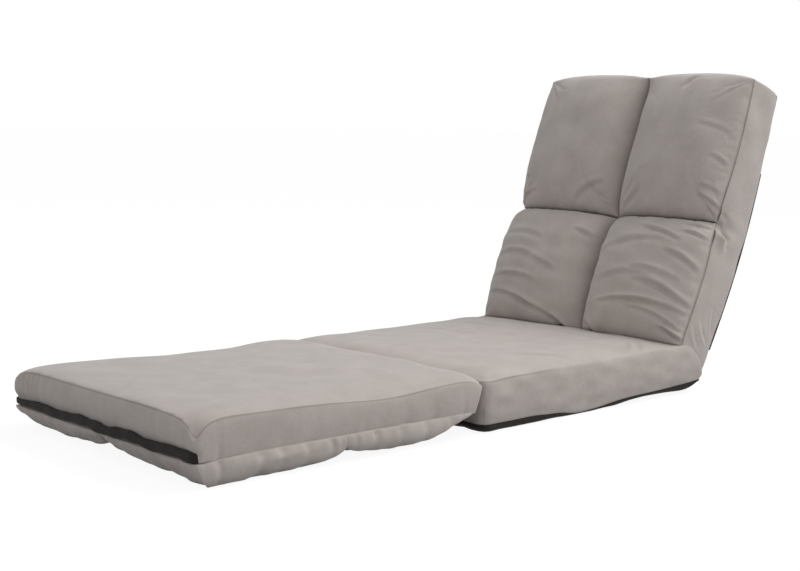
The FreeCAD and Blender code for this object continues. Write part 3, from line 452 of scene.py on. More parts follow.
def skirtLow(y):
    # lower edge of the grey skirt: it sags before the middle and lifts at the rear corner
    away = (y - seatLow.y) / (seatRear - seatLow.y)
    return seat["skirt"] + seat["skirtLift"] * away ** 6 - seat["skirtSag"] * bump(away - 0.43, 0.13)


def baseLow(y):
    # the base's edge lies on the floor in front and rises off it behind, with one bulge there
    away = (y - seatLow.y) / (seatRear - seatLow.y)
    step = 1 / (1 + np.exp(-(away - 0.61) / 0.03))
    return (base["low"] + base["lift"] * step + base["rearLift"] * away ** 14
            - base["sag"] * bump(away - 0.91, 0.05))


def seatRounding(share):
    # the rear shoulder from the seat's top, at 0, to its rear face, at 1: a full quarter curve
    turn = unit(share) * np.pi / 2
    y = seatRear - seat["shoulder"] * (1 - np.sin(turn) ** seat["roundness"])
    z = seat["rearFace"] + (seat["rearRim"] - seat["rearFace"]) * unit(np.cos(turn)) ** seat["roundness"]
    return y, z


def makeSeat():
    share, faces = boxSkin(80, 96, 14)
    across = ease(share[0]) * 2 - 1
    flat = seatRear - seat["shoulder"] - seatLow.y
    gone = ease(share[1], hold=0.25) * (flat + seat["shoulderLength"])
    roundY, roundZ = seatRounding((gone - flat) / seat["shoulderLength"])
    topY = np.where(gone < flat, seatLow.y + gone, roundY)
    rim = seat["frontRim"] + (seat["rearRim"] - seat["frontRim"]) * unit(gone / flat)
    topZ = np.where(gone < flat, rim, roundZ)
    lowY = seatLow.y + ease(share[1], hold=0.25) * (seatRear - seatLow.y)
    up = ease(share[2], hold=0.35)
    y = lowY + (topY - lowY) * up
    x = across * (seatHalf - seat["sideDraw"] * hump(share[1]))
    x, y = roundPlan(x, y, seatHalf, seatLow.y, seatRear, seat["corner"])
    low = skirtLow(y)
    z = low + (topZ - low) * up
    away = np.minimum(seatHalf - np.abs(x), y - seatLow.y)
    onTop = share[2] == 1
    along = unit(gone / flat)
    z += onTop * (seat["crown"] * (1 - across ** 2) * bulge(along, 4)
                  + seat["roll"] * (1 - np.exp(-unit(away) / seat["rollReach"])) * (1 - along ** 8))
    z -= up ** 3 * across ** 8 * seat["sideSag"] * hump(along) ** 0.6
    z -= up ** 2 * seat["frontDip"] * bump(away, 0.03) * bump(y - seatLow.y, 0.05)
    swell = seat["swell"] * hump(up) ** 0.6
    x *= 1 + swell / seatHalf
    y += (y - (seatLow.y + seatRear) / 2) * swell / (seatRear - seatLow.y) * 2 * (up < 1)
    edge = onTop & (onEnd(share[0]) | (share[1] == 0))
    corner = onEnd(share[0]) & (share[1] == 0)
    piece = makePiece("seatCushion", np.stack([x, y, z], 1), faces, suedeCloth)
    strength = np.where(share[1] == 0, 1, 1 - np.clip((along - 0.25) / 0.2, 0, 0.75))
    markSeam(piece, np.where(corner, 0.6, edge * strength))
    sewn = np.where(share[2] == 0, 1, np.where(edge | corner, cloth["seamHold"], cloth["slabHold"]))
    stuff(piece, sewn, pointsOf(piece) * slabAmple, pressure=0.6, reach=0.006)
    return piece, share


seatCushion, seatShare = makeSeat()
print("seat shaped")


# Black base cloth under the seat: a shallow tray, wavy where it bulges below the skirt

def makeBase():
    share, faces = boxSkin(60, 70, 6)
    across = ease(share[0]) * 2 - 1
    half, front, rear = seatHalf - base["inset"], seatLow.y + base["inset"], seatRear - 0.002
    x = across * (half - seat["sideDraw"] * hump(share[1]))
    y = front + ease(share[1]) * (rear - front)
    x, y = roundPlan(x, y, half, front, rear, seat["corner"])
    high = np.maximum(skirtLow(y), baseLow(y)) + base["overlap"]
    inward = np.minimum(seatHalf - np.abs(x), np.minimum(y - seatLow.y, seatRear - y))
    edge = unit(1 - inward / base["edgeReach"])
    lumps = unit(base["lump"] * wander(x, y, size=0.07, seed=4))
    low = 0.0003 + (baseLow(y) + lumps) * edge ** 2
    z = low + (high - low) * share[2]
    swell = base["swell"] * hump(share[2]) * np.clip((high - low) / 0.012, 0, 1.2)
    x *= 1 + swell / seatHalf
    y += (y - (seatLow.y + seatRear) / 2) * swell / (seatRear - seatLow.y) * 2
    return makePiece("seatBaseCloth", np.stack([x, y, z], 1), faces, blackCloth)


seatBase = makeBase()
print("base cloth shaped")


# Footrest: a foam slab in its boxing, and four stuffed pillows sewn on below it

footrest = {
    "corner": 0.014, "sideDraw": 0.005, "seam": 0.040, "slope": 0.019, "foldRim": 0.0935, "footRim": 0.0975,
    "crown": 0.004, "roll": 0.006, "rollReach": 0.016, "swell": 0.0045, "cornerDip": 0.022,
    "arch": 0.008, "sideSag": 0.009, "valley": 0.026, "band": 0.017, "foldCornerDip": 0.008,
    "proud": 0.004, "bandSet": 0.003,
}
footRims = {
    # each pillow: the height of its rim off the floor along the side and along the end, what is
    # added to it at the outer corner, and how far its end is drawn in below
    "FoldLeft": (0.016, 0.032, 0.020, 0.055), "FoldRight": (0.016, 0.032, 0.020, 0.055),
    "FootLeft": (0.010, 0.012, 0.030, 0.018), "FootRight": (0.001, 0.008, -0.020, 0.020),
}
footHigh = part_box("footrest_cover")[1]
footHalf = footHigh.x
footEnd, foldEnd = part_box("footrest_foam")[0].y - 0.0018, footHigh.y
footLength = foldEnd - footEnd


def makeFootrest():
    share, faces = boxSkin(80, 88, 12)
    across = ease(share[0]) * 2 - 1
    along = ease(share[1])
    up = ease(share[2], hold=0.35)
    topZ = footrest["footRim"] + (footrest["foldRim"] - footrest["footRim"]) * along
    z = footrest["seam"] + (topZ - footrest["seam"]) * up
    fold = foldEnd - footrest["slope"] * (1 - up)
    y = footEnd + along * (fold - footEnd)
    x = across * (footHalf - footrest["sideDraw"] * hump(share[1]))
    x, y = roundPlan(x, y, footHalf, footEnd, foldEnd + 0.012, footrest["corner"])
    onTop = share[2] == 1
    away = np.minimum(np.minimum(footHalf - np.abs(x), y - footEnd), foldEnd - y)
    z += onTop * (footrest["crown"] * (1 - across ** 2) * bulge(along, 4)
                  + footrest["roll"] * (1 - np.exp(-unit(away) / footrest["rollReach"])))
    ends = (1 - along) ** 4 + along ** 4
    corner = np.hypot(footHalf - np.abs(x), np.minimum(y - footEnd, foldEnd - y))
    z += up ** 2 * footrest["arch"] * (1 - np.exp(-corner / 0.03)) * ends
    z -= up ** 3 * across ** 8 * footrest["sideSag"] * bump(y - foldEnd + 0.2, 0.11)
    footDip = footrest["cornerDip"] * np.where(x > 0, 1, 0.4)
    deepest = np.where(along > 0.5, footrest["foldCornerDip"], footDip)
    z -= up ** 2 * deepest * np.exp(-unit(corner - 0.006) / 0.015)
    swell = footrest["swell"] * hump(0.2 + 0.8 * up) ** 0.6
    x *= 1 + swell / footHalf
    bandShare = footrest["band"] / (footrest["footRim"] - footrest["seam"])
    aboveBand = unit((up - bandShare) / (1 - bandShare))
    proud = footrest["proud"] * hump(aboveBand) ** 0.6 - footrest["bandSet"] * (aboveBand == 0)
    y -= proud * (1 - along) ** 8
    rim = onEnd(share[0]) | onEnd(share[1])
    edge, lower = onTop & rim, (share[2] == 0) & rim
    upright = onEnd(share[0]) & (share[1] == 0)
    piece = makePiece("footrestCushion", np.stack([x, y, z], 1), faces, suedeCloth)
    inBand = (share[1] == 0) & (aboveBand == 0)
    strength = np.maximum(edge, (lower | upright) * 0.3)
    markSeam(piece, strength * np.where(share[1] == 1, 0.5, 1))
    free = np.where(edge | upright, cloth["seamHold"], cloth["slabHold"])
    sewn = np.where((share[2] == 0) | inBand, 1, free)
    stuff(piece, sewn, pointsOf(piece) * slabAmple, pressure=0.6, reach=0.006)
    return piece, share


def makeFootPillow(label, side, endY, valleyY):
    # one of the four: sewn at the boxing's lower seam outside and in a valley inside; its face
    # sinks from its seams to the floor by the product of the swellings across and along
    sideRim, endRim, cornerRim, inset = footRims[label]
    share, faces = boxSkin(52, 56, 8)
    across, along, up = ease(share[0]), ease(share[1]), share[2]
    top = footrest["seam"] + 0.003 - 0.005 * ("Foot" in label) * along ** 6
    x = side * (-0.001 + across * (footHalf + 0.001))
    inwards = np.sign(valleyY - endY)
    far = endY + inwards * inset * (1 - up) ** 1.3
    y = valleyY + along * (far - valleyY)
    full = bulge(across * 0.94, 3.2) * bulge(along * 0.94, 2.6)
    outside = unit((across - 0.5) * 2) ** 4
    beyond = unit((along - 0.5) * 2) ** 4
    rim = (footrest["valley"] + (sideRim - footrest["valley"]) * outside * bulge(along / 2, 2.4)
           + (endRim - footrest["valley"]) * beyond * bulge(across / 2, 3) + cornerRim * outside * beyond)
    low = unit(rim) * (1 - full)
    z = low + (top - low) * up
    swell = 0.0044 * unit(up * 4) + 0.004 * hump(up) ** 0.7
    x += side * swell * across ** 4 * bulge(0.03 + along * 0.94, 4)
    y -= inwards * 0.003 * hump(up) * along ** 4 * bulge(across, 3)
    x, y = roundPlan(x, y, footHalf + 0.008, footEnd - 0.003, foldEnd + 0.02, footrest["corner"])
    points = np.stack([x, y, z], 1)
    order = faces if side * (endY - valleyY) > 0 else faces[:, ::-1]
    piece = makePiece("footrestPillow" + label, points, order, suedeCloth)
    markSeam(piece, (share[2] == 0) & ((share[0] == 0) | (share[1] == 0)))
    centre = points.mean(0)
    cut = centre + (points - centre) * 1.05
    inside = (share[2] == 1) | (share[0] == 0) | (share[1] == 0)
    stuff(piece, np.where(inside, 1.0, cloth["pillowHold"]), cut, pressure=2.0, reach=0.008)
    return piece, share


footrestCushion, footShare = makeFootrest()
footSplit = (footEnd + foldEnd - footrest["slope"]) / 2
footPillows = {}
for label, side in (("Left", -1), ("Right", 1)):
    for row, endY, overlap in (("Fold", foldEnd - footrest["slope"], -0.0015), ("Foot", footEnd, 0.0015)):
        node = f"footrest_pillow_{row.lower()}_{label.lower()}"
        footPillows["footrestPillow" + row + label] = (node,) + makeFootPillow(
            row + label, side, endY, footSplit + overlap)
print("footrest shaped")


def makeBand():
    # the black strip across the foot end: its two edges wander, and it wraps the corners a little
    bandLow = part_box("footrest_end_band")[0]
    share, faces = boxSkin(120, 1, 4)
    reach, wrap = 2 * footHalf - 0.016, 0.012
    gone = (share[0] * 2 - 1) * (reach / 2 + wrap)
    flat = footHalf - footrest["corner"]
    turn = np.clip((np.abs(gone) - flat) / footrest["corner"], 0, 1.3)
    x = np.sign(gone) * (np.minimum(np.abs(gone), flat) + footrest["corner"] * np.sin(turn))
    out = footrest["corner"] * (1 - np.cos(turn))
    thin = 1 - 0.35 * unit(-gone / reach * 2) ** 2
    middle = bandLow.z + footrest["band"] / 2 + 0.0012 * wander(gone, 0, size=0.11, seed=7)
    half = footrest["band"] / 2 * (1 + 0.14 * wander(gone, 0, size=0.06, seed=8)) * thin
    z = middle + (share[2] * 2 - 1) * half
    swell = 0.0015 + 0.0008 * wander(gone, z * 2, size=0.06, seed=9)
    y = footEnd - 0.0015 - swell * (1 - share[1]) + out + share[1] * 0.003
    return makePiece("footrestEndBand", np.stack([x, y, z], 1), faces, blackCloth)


footBand = makeBand()


# Backrest: a boxing round the slab, and four stuffed pillows sewn down at a cross of seams

def backBox(node):
    # lowest and highest of a CAD node across, up the backrest and forward of its rear face
    points = pointsOf(None, frame["nodes"][node].data)
    offset = points - hinge
    local = np.stack([points[:, 0], offset @ backUp, offset @ backOut + hinge[2]], 1)
    return local.min(0), local.max(0)


def onBack(x, rise, depth):
    offset = np.multiply.outer(rise, backUp) + np.multiply.outer(depth - hinge[2], backOut)
    return hinge + offset + np.multiply.outer(x, np.array([1.0, 0, 0]))


# heights count up the backrest from the hinge line, depths forward from its rear face
pillowLow, pillowHigh = backBox("back_pillow_upper_right")
back = {
    "half": pillowHigh[0], "foot": backBox("back_side_band")[0][1], "top": pillowHigh[1] - 0.0025,
    "tuft": pillowLow[1], "crown": pillowHigh[2], "yoke": backBox("back_rear_panel")[1][1],
    "boxing": 0.091, "boxingBow": 0.008, "boxingPinch": 0.009, "tuftDepth": 0.052, "seamMiddle": 0.084,
    "sidePinch": 0.009, "footLine": seat["rearRim"] - 0.001, "crease": 0.055, "topArch": 0.006,
    "cornerDrop": 0.009, "rearBow": 0.018, "rear": 0.003, "headRound": 0.018,
    "inner": 0.044, "gap": 0.0006, "topMiddle": 0.088, "footMiddle": 0.070, "swell": 0.004,
}


def backHalf(rise):
    # half the width up the backrest: full beside each pillow, pinched at the cross seam
    above = unit((rise - back["tuft"]) / (back["top"] - back["tuft"]))
    below = unit((back["tuft"] - rise) / (back["tuft"] - back["foot"]))
    share = np.where(rise > back["tuft"], above, below)
    narrow = np.where(share < 0.5, back["sidePinch"], back["sidePinch"] / 2) * (1 - 2 * share) ** 2
    return back["half"] - narrow - 0.004 * bump(rise - back["tuft"], 0.016)


def topLine(across):
    # the top edge from the centre, at 0, to the side, at 1: arched over each pillow, low at the corner
    return (back["top"] + back["topArch"] * hump(across) ** 0.8
            - back["cornerDrop"] * across ** 8 - 0.002 * (1 - across) ** 6)


def boxingSeam(rise):
    # depth of the boxing's front seam: bowed to the rear, pulled in sharply at the cross seam
    share = unit((rise - back["foot"]) / (back["top"] - back["foot"]))
    return (back["boxing"] - back["boxingBow"] * hump(share) ** 0.8
            - back["boxingPinch"] * bump(rise - back["tuft"], 0.02))


def rearBow(rise):
    # how far the rear of the backrest bellies out, from its foot to its head
    share = unit((rise - back["foot"]) / (back["top"] - back["foot"]))
    return back["rearBow"] * hump(share ** 0.8) ** 1.3


def crossSeam(across):
    # depth of the cross seam from the centre, at 0, to the side, at 1
    side = boxingSeam(np.array(back["tuft"]))
    middle = back["seamMiddle"]
    end = np.where(across < 0.5, back["tuftDepth"], side)
    return end + (middle - end) * hump(across) ** 0.7


def footRise(depth):
    # how far up the backrest the level of the seat's top lies, at a depth
    return (back["footLine"] - hinge[2] - (depth - hinge[2]) * math.sin(lean)) / math.cos(lean)


def makeBackPillow(name, side, upper):
    # the face swells from its four seams by the product of the swellings across and along; the
    # depth between the seams is the sum of the two ways across less the way between corners
    share, faces = boxSkin(84, 90, 4)
    across, along, deep = ease(share[0]), ease(share[1]), share[2]
    low = footRise(back["boxing"])
    outer = boxingSeam(back["tuft"] + along * (back["top"] - back["tuft"]) if upper
                       else low + along * (back["tuft"] - low))
    if upper:
        corners, tight = (back["tuftDepth"], back["topMiddle"]), 8
        near = crossSeam(across)
        far = back["boxing"] - (back["boxing"] - back["topMiddle"]) * (1 - across)
    else:
        corners, tight = (back["footMiddle"], back["tuftDepth"]), 6
        near = back["footMiddle"] + (back["boxing"] - back["footMiddle"]) * across ** 0.35
        far = crossSeam(across)
    centre = (back["crease"] + (corners[0] - back["crease"]) * (1 - along) ** 6
              + (corners[1] - back["crease"]) * along ** tight)
    start, finish = outer[along == 0][0], outer[along == 1][0]
    seams = ((1 - across) * centre + across * outer + (1 - along) * near + along * far
             - (1 - across) * ((1 - along) * corners[0] + along * corners[1])
             - across * ((1 - along) * start + along * finish))
    lift = bulge(across, 3.4) * bulge(along, 3.2 if upper else 2.7)
    face = seams + (back["crown"] + (0 if upper else 0.007) - seams) * lift
    depth = back["inner"] + deep * (face - back["inner"])
    if upper:
        low = back["tuft"] + back["gap"]
        rise = low + along * (topLine(across) - low)
    else:
        low = footRise(depth)
        rise = low + along * (back["tuft"] - back["gap"] - low)
    x = side * (back["gap"] + across * (backHalf(rise) - back["gap"]))
    points = onBack(x, rise, depth)
    piece = makePiece(name, points, faces if side > 0 else faces[:, ::-1], suedeCloth)
    onFace = share[2] == 1
    border = onEnd(share[0]) | onEnd(share[1])
    markSeam(piece, (onFace & border) * np.where((share[1] == 0) & (not upper), 0.3, 1.0))
    ampler = (1.045, 1.035) if upper else (1.05, 1.09)
    middleRise = rise.mean()
    cut = onBack(x * ampler[0], middleRise + (rise - middleRise) * ampler[1], depth)
    sewn = np.where(onFace & ~border, 0.0, 1.0)
    stuff(piece, sewn, cut, pressure=4.0 if upper else 3.0, reach=0.020)
    return piece, share, x, rise


backPillows = {}
for label, side in (("Left", -1), ("Right", 1)):
    for level, upper in (("Upper", True), ("Lower", False)):
        name = f"backPillow{level}{label}"
        node = f"back_pillow_{level.lower()}_{label.lower()}"
        backPillows[name] = (node,) + makeBackPillow(name, side, upper)


# folds in the boxing's side where it is pulled in: height, place above the cross seam, width
tuckFolds = (-0.006, -0.006, 0.009), (0.003, 0.016, 0.012), (0.003, -0.030, 0.014)


def makeBoxing():
    # the sides and top of the backrest in one closed form; its foot follows the seat's rounding
    share, faces = boxSkin(40, 110, 18)
    across, along, deep = ease(share[0], hold=0.8) * 2 - 1, share[1], share[2]
    footY, footZ = seatRounding(1 - deep * 0.97)
    footOffset = np.stack([0 * footY, footY - 0.004, footZ - 0.006], 1) - hinge
    lowRise, lowDepth = footOffset @ backUp, footOffset @ backOut + hinge[2]
    rear, radius = back["rear"], back["headRound"]
    topDepth = rear + deep * (back["boxing"] - rear)
    head = topLine(np.abs(across)) - radius * (
        1 - np.sqrt(1 - unit((radius + rear - topDepth) / radius) ** 2))
    rise = lowRise + along * (head - lowRise)
    behind = rear - rearBow(rise)
    regular = behind + deep * (boxingSeam(rise) - behind)
    fade = unit(1 - (rise - lowRise) / 0.07) ** 2
    depth = regular + (lowDepth - regular) * fade
    swell = back["swell"] * hump(deep) ** 0.6
    nearTuft = rise - back["tuft"]
    crease = deep ** 2 * sum(high * bump(nearTuft - place, width) for high, place, width in tuckFolds)
    narrow = (back["half"] - backHalf(rise)) * deep ** 2
    x = across * (back["half"] - narrow + swell + crease)
    rise = rise + (share[1] == 1) * swell * (1 - across ** 8)
    inward = np.minimum((1 - np.abs(across)) * back["half"], unit(back["top"] - rise))
    inner = back["inner"] + 0.002
    depth = np.where(deep == 1, inner + (depth - inner) * np.exp(-unit(inward) / 0.006), depth)
    piece = makePiece("backBoxing", onBack(x, rise, depth), faces, suedeCloth)
    markSeam(piece, onEnd(deep) & (onEnd(share[0]) | (share[1] == 1)))
    return piece, share, rise, depth


backBoxing, boxShare, boxRise, boxDepth = makeBoxing()


def rearSheet(name, low, high, proud, edge, material, seed):
    # a rear panel: crowned towards the rear, its edges tucked against the boxing
    share, faces = boxSkin(56, 60, 2)
    across, along = ease(share[0]) * 2 - 1, ease(share[1])
    rise = low + along * (high - low)
    x = across * (back["half"] - 0.002)
    away = np.minimum((1 - np.abs(across)) * back["half"], np.minimum((rise - low) / 2, high - rise))
    crown = edge + (proud - edge) * (1 - np.exp(-unit(away) / 0.02))
    unevenness = 0.0012 * wander(x, rise, size=0.14, seed=seed)
    crown = crown + unevenness * (1 - np.exp(-unit(away) / 0.03))
    inner, radius = 0.0035, back["headRound"]
    depth = inner - (1 - share[2]) * (inner + crown) - rearBow(rise)
    depth += unit((rise - (back["top"] - radius)) / radius) ** 2.2 * 0.012
    return makePiece(name, onBack(x, rise, depth), faces, material)


backYoke = rearSheet("backYoke", back["yoke"] - 0.004, back["top"] - 0.008,
                     proud=0.0015, edge=0.0002, material=suedeCloth, seed=21)
backPanel = rearSheet("backRearPanel", back["foot"] - 0.004, back["yoke"],
                      proud=0.007, edge=0.0048, material=blackCloth, seed=22)
print("backrest shaped")


# Cloth over the two fold lines

def strip(name, half, path, counts, material, seed, thick=0.0015):
    # a band of cloth carried along a path of (y, z): points of the path, and the same moved out
    share, faces = boxSkin(*counts)
    y, z = path(share[1])
    ahead = path(unit(share[1] + 0.01))
    behind = path(unit(share[1] - 0.01))
    slopeY, slopeZ = ahead[0] - behind[0], ahead[1] - behind[1]
    length = np.maximum(np.hypot(slopeY, slopeZ), 1e-9)
    x = (share[0] * 2 - 1) * half
    unevenness = 0.0008 * wander(x, y + z, size=0.07, seed=seed)
    out = (1 - share[2]) * thick + unevenness * hump(share[1])
    return makePiece(name, np.stack([x, y + out * slopeZ / length, z - out * slopeY / length], 1),
                     faces, material)


def hingePath(share):
    # from the seat's base, close behind the hinges and up to the foot of the rear panel
    start = np.array([seatRear + 0.0012, 0.028])
    end = onBack(np.array(0.0), np.array(back["foot"] + 0.003), np.array(-0.0015))[1:]
    out = np.array([seatRear - 0.004, seat["rearFace"] + 0.004])
    return [(1 - share) ** 2 * start[axis] + 2 * share * (1 - share) * out[axis] + share ** 2 * end[axis]
            for axis in (0, 1)]


def foldPath(share):
    # a shallow valley of cloth between the two top seams
    start, end = foldEnd - 0.004, seatLow.y + 0.004
    return [end + share * (start - end), footrest["foldRim"] - 0.002 - 0.004 * hump(share)]


hingeCloth = strip("hingeCloth", back["half"] - 0.014, hingePath,
                   counts=(60, 24, 1), material=blackCloth, seed=31)
foldStrip = strip("foldStrip", footHalf - 0.012, foldPath,
                  counts=(60, 10, 1), material=suedeCloth, seed=32)
print("hinge cloths shaped")

runCloth()
print("cloth settled")


# Creases and gathers, in millimetres: start, end, bow, width, depth

def finishSeat():
    x, y, z = pointsOf(seatCushion).T
    top = seatShare[2] == 1
    rise = folds(x, y, [
        (60, 232, 150, 205, 8, 7, 3.0), (-40, 232, 60, 215, 6, 8, 2.4), (192, 180, 262, 104, 5, 8, -7),
        (-230, 150, -60, 190, 14, 10, 1.8), (-240, 60, -60, 100, 12, 12, 1.6),
        (20, 150, 160, 120, 10, 12, 1.6),
        (-200, -60, -20, -20, 12, 14, 1.4), (-250, -200, -120, -180, 8, 12, 1.6),
        (150, -150, 268, -60, 16, 12, 2.5)]) * top
    rise += 0.0009 * wander(x, y, size=0.12, seed=11) * top
    side = onEnd(seatShare[0])
    rise += side * 0.0008 * wander(y, z * 2, size=0.06, seed=12)
    front = seatShare[1] == 0
    rise += front * 0.0008 * wander(x, z * 2, size=0.06, seed=13)
    pushOut(seatCushion, rise)


def finishFootrest():
    x, y, z = pointsOf(footrestCushion).T
    top = footShare[2] == 1
    rise = top * 0.0008 * wander(x, y, size=0.14, seed=14)
    foot = (footShare[1] == 0) & (z > footrest["seam"] + footrest["band"])
    rise += foot * pleats(x + footHalf, z - footrest["footRim"], 2 * footHalf,
                          spacing=0.017, reach=0.05, depth=0.0045, seed=15)
    side = onEnd(footShare[0])
    rise += side * pleats(y - footEnd, z - footrest["seam"], footLength,
                          spacing=0.035, reach=0.012, depth=0.002, seed=16)
    rise += side * gathers(y, z - footrest["seam"], [
        (-578, 5, 18, 4), (-489, 6, 18, 4), (-428, 5, 16, 3), (-862, 5, 22, 4), (-360, 6, 20, 3)])
    pushOut(footrestCushion, rise)


def finishFootPillows():
    for number, (_, piece, share) in enumerate(footPillows.values()):
        x, y, z = pointsOf(piece).T
        below = footrest["seam"] - z
        gather = pleats(y - footEnd, below, footLength,
                        spacing=0.022, reach=0.02, depth=0.003, seed=40 + number)
        gather += gathers(y, below, [
            (-862, 6, 30, 8), (-790, 6, 22, 6), (-750, 5, 18, 5), (-702, 5, 16, 4), (-652, 6, 18, 5),
            (-560, 6, 24, 6), (-508, 6, 24, 6), (-452, 5, 20, 5), (-395, 6, 20, 5)])
        gather = gather * (share[0] == 1)
        gather += (share[1] == 1) * pleats(
            x + footHalf, below, 2 * footHalf, spacing=0.03, reach=0.03, depth=0.005, seed=50 + number)
        pushOut(piece, gather + 0.0008 * wander(x, y, size=0.05, seed=60 + number) * (share[2] < 1))
        points = pointsOf(piece)
        points[:, 2] = np.maximum(points[:, 2], base["low"])
        setPoints(piece, points)


pillowFolds = {
    "backPillowLowerRight": [
        (134, 166, 286, 116, 14, 6, 7), (54, 107, 276, 108, 15, 5, 7), (140, 105, 270, 72, 11, 5, 5),
        (222, 76, 276, 55, 3, 5, 7), (121, 189, 255, 168, 8, 6, 4), (195, 232, 276, 196, 9, 6, 5),
        (112, 284, 230, 256, 4, 5, 4.5), (205, 298, 276, 292, 3, 4, 3.5), (215, 280, 276, 268, 3, 4, 4),
        (21, 215, 207, 250, 17, 9, 3), (35, 146, 208, 166, 20, 8, 3), (20, 70, 60, 30, 4, 7, 5)],
    "backPillowLowerLeft": [
        (-262, 185, -125, 180, 15, 6, 5), (-150, 186, -70, 160, 4, 6, 4), (-262, 133, -110, 130, 12, 6, 5.5),
        (-262, 99, -93, 67, 14, 6, 5.5), (-70, 68, -18, 34, 4, 7, 6), (-62, 264, -14, 248, 3, 6, 5),
        (-181, 95, -20, 45, 5, 7, 4), (-255, 240, -130, 232, 8, 8, 3)],
    "backPillowUpperRight": [
        (238, 442, 274, 426, 3, 5, 3.5), (228, 360, 276, 336, 4, 5, 4.5), (125, 590, 145, 626, 3, 6, 4),
        (28, 326, 84, 368, -5, 8, 4), (225, 378, 274, 368, 3, 5, 3), (190, 506, 268, 492, 5, 6, 2)],
    "backPillowUpperLeft": [
        (-95, 322, -22, 380, 8, 8, 4), (-268, 380, -220, 372, 3, 5, 2.5), (-262, 335, -205, 345, 3, 5, 3)],
}


def finishBackPillows():
    for number, (name, (_, piece, share, x, rise)) in enumerate(backPillows.items()):
        lower = "Lower" in name
        onFace = share[2] == 1
        full = bulge(share[0]) * bulge(share[1])
        amount = onFace * folds(x, rise, pillowFolds[name])
        stretch = 1.8 if lower else 1
        amount += onFace * full * 0.0011 * wander(x, rise * stretch, size=0.09, seed=70 + number)
        outerGap = (1 - share[0]) * back["half"]
        amount += onFace * pleats(
            rise, outerGap, 0.65, spacing=0.024, reach=0.02, depth=0.0035, seed=80 + number)
        seamGap = (share[1] if not lower else 1 - share[1]) * 0.3
        amount += onFace * pleats(
            np.abs(x), seamGap, 0.28, spacing=0.03, reach=0.02, depth=0.002, seed=90 + number)
        amount *= unit(np.minimum(share[0], 1 - share[0]) * 30)
        pushOut(piece, amount)


def finishBoxing():
    side = onEnd(boxShare[0])
    amount = side * 0.0009 * wander(boxRise, boxDepth * 1.5, size=0.09, seed=17)
    amount += side * folds(boxDepth, boxRise, [
        (60, 120, 20, 75, 6, 5, 3), (78, 105, 45, 60, 5, 4, 3), (30, 150, 10, 95, 4, 5, 2),
        (84, 322, 40, 268, -6, 8, 8), (80, 298, 34, 286, -4, 7, 5), (82, 340, 52, 326, 3, 6, 4)])
    pushOut(backBoxing, amount)


finishSeat()
finishFootrest()
finishFootPillows()
finishBackPillows()
finishBoxing()
for piece in bpy.context.scene.objects:
    if piece.type == "MESH" and "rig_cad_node" not in piece:
        subdivide(piece)
print("creases drawn")


# The CAD parts each piece stands for, hidden, and the body it rides on, where it has one

def bendAtHinge(piece):
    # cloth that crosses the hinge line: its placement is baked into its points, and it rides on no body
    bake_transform(piece)


def enlist(piece, slotName, *nodes):
    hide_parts(*nodes)


enlist(seatCushion, "microsuede", "seat_cover", "seat_foam_lower", "seat_foam_upper")
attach(seatCushion, "seat")
enlist(seatBase, "black_cloth", "seat_base_cloth")
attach(seatBase, "seat")
enlist(footrestCushion, "microsuede", "footrest_cover", "footrest_foam")
enlist(footBand, "black_cloth", "footrest_end_band")
for node, piece, share in footPillows.values():
    enlist(piece, "microsuede", node)
footParts = [footrestCushion, footBand] + [piece for node, piece, share in footPillows.values()]
for piece in footParts:
    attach(piece, "footrest")
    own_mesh(piece)
for name, (node, piece, share, x, rise) in backPillows.items():
    enlist(piece, "microsuede", node)
    if "Lower" in name:
        bendAtHinge(piece)
    else:
        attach(piece, "backrest")
enlist(backBoxing, "microsuede", "back_side_band", "back_foam_rear", "back_foam_front")
bendAtHinge(backBoxing)
enlist(backYoke, "microsuede", "back_rear_yoke")
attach(backYoke, "backrest")
enlist(backPanel, "black_cloth", "back_rear_panel")
bendAtHinge(backPanel)
enlist(hingeCloth, "black_cloth", "back_hinge_cloth")
bendAtHinge(hingeCloth)
enlist(foldStrip, "microsuede", "fold_hinge_cloth")
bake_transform(foldStrip)
print("pieces joined to their bodies")


# Floor, light and camera

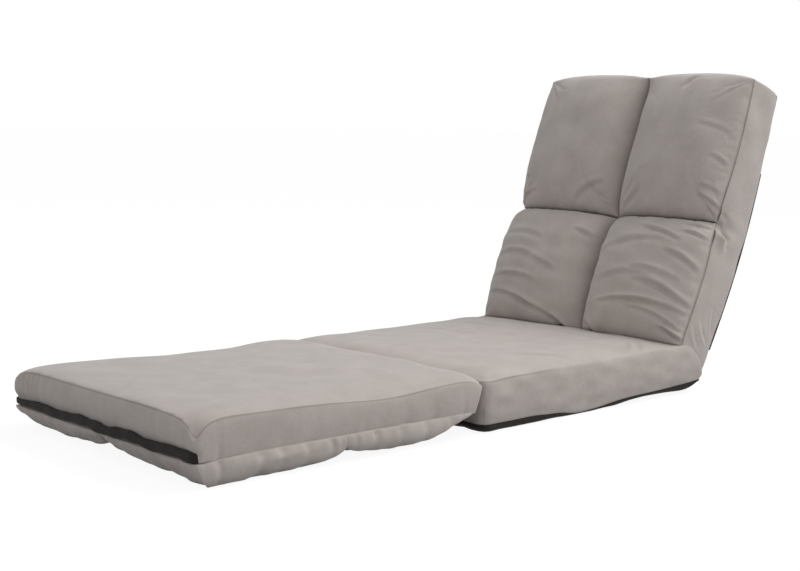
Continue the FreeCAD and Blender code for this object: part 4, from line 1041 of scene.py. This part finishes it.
def makeFloor():
    # matt white studio paper, a wide flat sheet; the camera sees its white, and the shadow on it
    material, tree, shader, _ = newMaterial("studioPaperWhite", Roughness=1.0, Specular_IOR_Level=0.0)
    shader.inputs["Base Color"].default_value = linear("#B8B8B8")
    glow = addNode(tree, "ShaderNodeEmission", {"Color": (1, 1, 1, 1), "Strength": 1.22})
    ray = addNode(tree, "ShaderNodeLightPath")
    seen = addNode(tree, "ShaderNodeMath", operation="MAXIMUM", links={
        0: ray.outputs["Is Camera Ray"], 1: ray.outputs["Is Glossy Ray"]})
    mixed = addNode(tree, "ShaderNodeMath", {1: 0.75}, {0: seen.outputs["Value"]}, operation="MULTIPLY")
    blend = addNode(tree, "ShaderNodeMixShader", links={0: mixed.outputs["Value"], 1: shader.outputs[0],
                                                        2: glow.outputs[0]})
    tree.links.new(blend.outputs[0], tree.nodes["Material Output"].inputs["Surface"])
    grid = np.linspace(-40, 40, 3)
    x, y = np.meshgrid(grid, grid, indexing="ij")
    points = np.stack([x.ravel(), y.ravel(), np.full(x.size, -0.0004)], 1)
    corners = np.array([0, 1, 3, 4])
    faces = np.stack([corners, corners + 3, corners + 4, corners + 1], 1)
    floor = makePiece("floor", points, faces, material)


def makeLights():
    world = bpy.data.worlds.new("studio")
    scene.world = world
    world.use_nodes = True
    tree = world.node_tree
    ambient = tree.nodes["Background"]
    ambient.inputs["Color"].default_value = (1, 1, 1, 1)
    ambient.inputs["Strength"].default_value = 0.64
    white = addNode(tree, "ShaderNodeBackground", {"Color": (1, 1, 1, 1), "Strength": 1})
    ray = addNode(tree, "ShaderNodeLightPath")
    mixed = addNode(tree, "ShaderNodeMixShader", links={
        0: ray.outputs["Is Camera Ray"], 1: ambient.outputs[0], 2: white.outputs[0]})
    tree.links.new(mixed.outputs[0], tree.nodes["World Output"].inputs["Surface"])
    lamps = {"above": ((0.7, 1.7, 2.7), 2.0, 58), "right": ((2.8, 1.0, 1.5), 1.5, 13)}
    for name, (spot, size, power) in lamps.items():
        light = bpy.data.lights.new(name, "AREA")
        light.size, light.energy = size, power
        lamp = bpy.data.objects.new(name, light)
        lamp.location = spot
        lamp.rotation_mode = "QUATERNION"
        lamp.rotation_quaternion = (Vector((0, 0, 0.2)) - Vector(spot)).to_track_quat("-Z", "Y")
        scene.collection.objects.link(lamp)


def makeCamera():
    # where it stands and its direction were fitted to the object's corners in the photograph
    place, turn, rise, roll = (1.9714, -2.0217, 0.5432), math.radians(48.2), math.radians(6.8), 0.0101
    behind = Vector((math.sin(turn) * math.cos(rise), -math.cos(turn) * math.cos(rise), math.sin(rise)))
    right = (-behind).cross(Vector((0, 0, 1))).normalized()
    up = right.cross(-behind)
    tiltedRight = right * math.cos(roll) + up * math.sin(roll)
    tiltedUp = up * math.cos(roll) - right * math.sin(roll)
    data = bpy.data.cameras.new("camera")
    data.lens, data.sensor_width = 63.79, 36
    camera = bpy.data.objects.new("camera", data)
    camera.matrix_world = Matrix.Translation(place) @ Matrix(
        (tiltedRight, tiltedUp, behind)).transposed().to_4x4()
    scene.collection.objects.link(camera)
    scene.camera = camera


makeFloor()
makeLights()
makeCamera()
print("stage set")
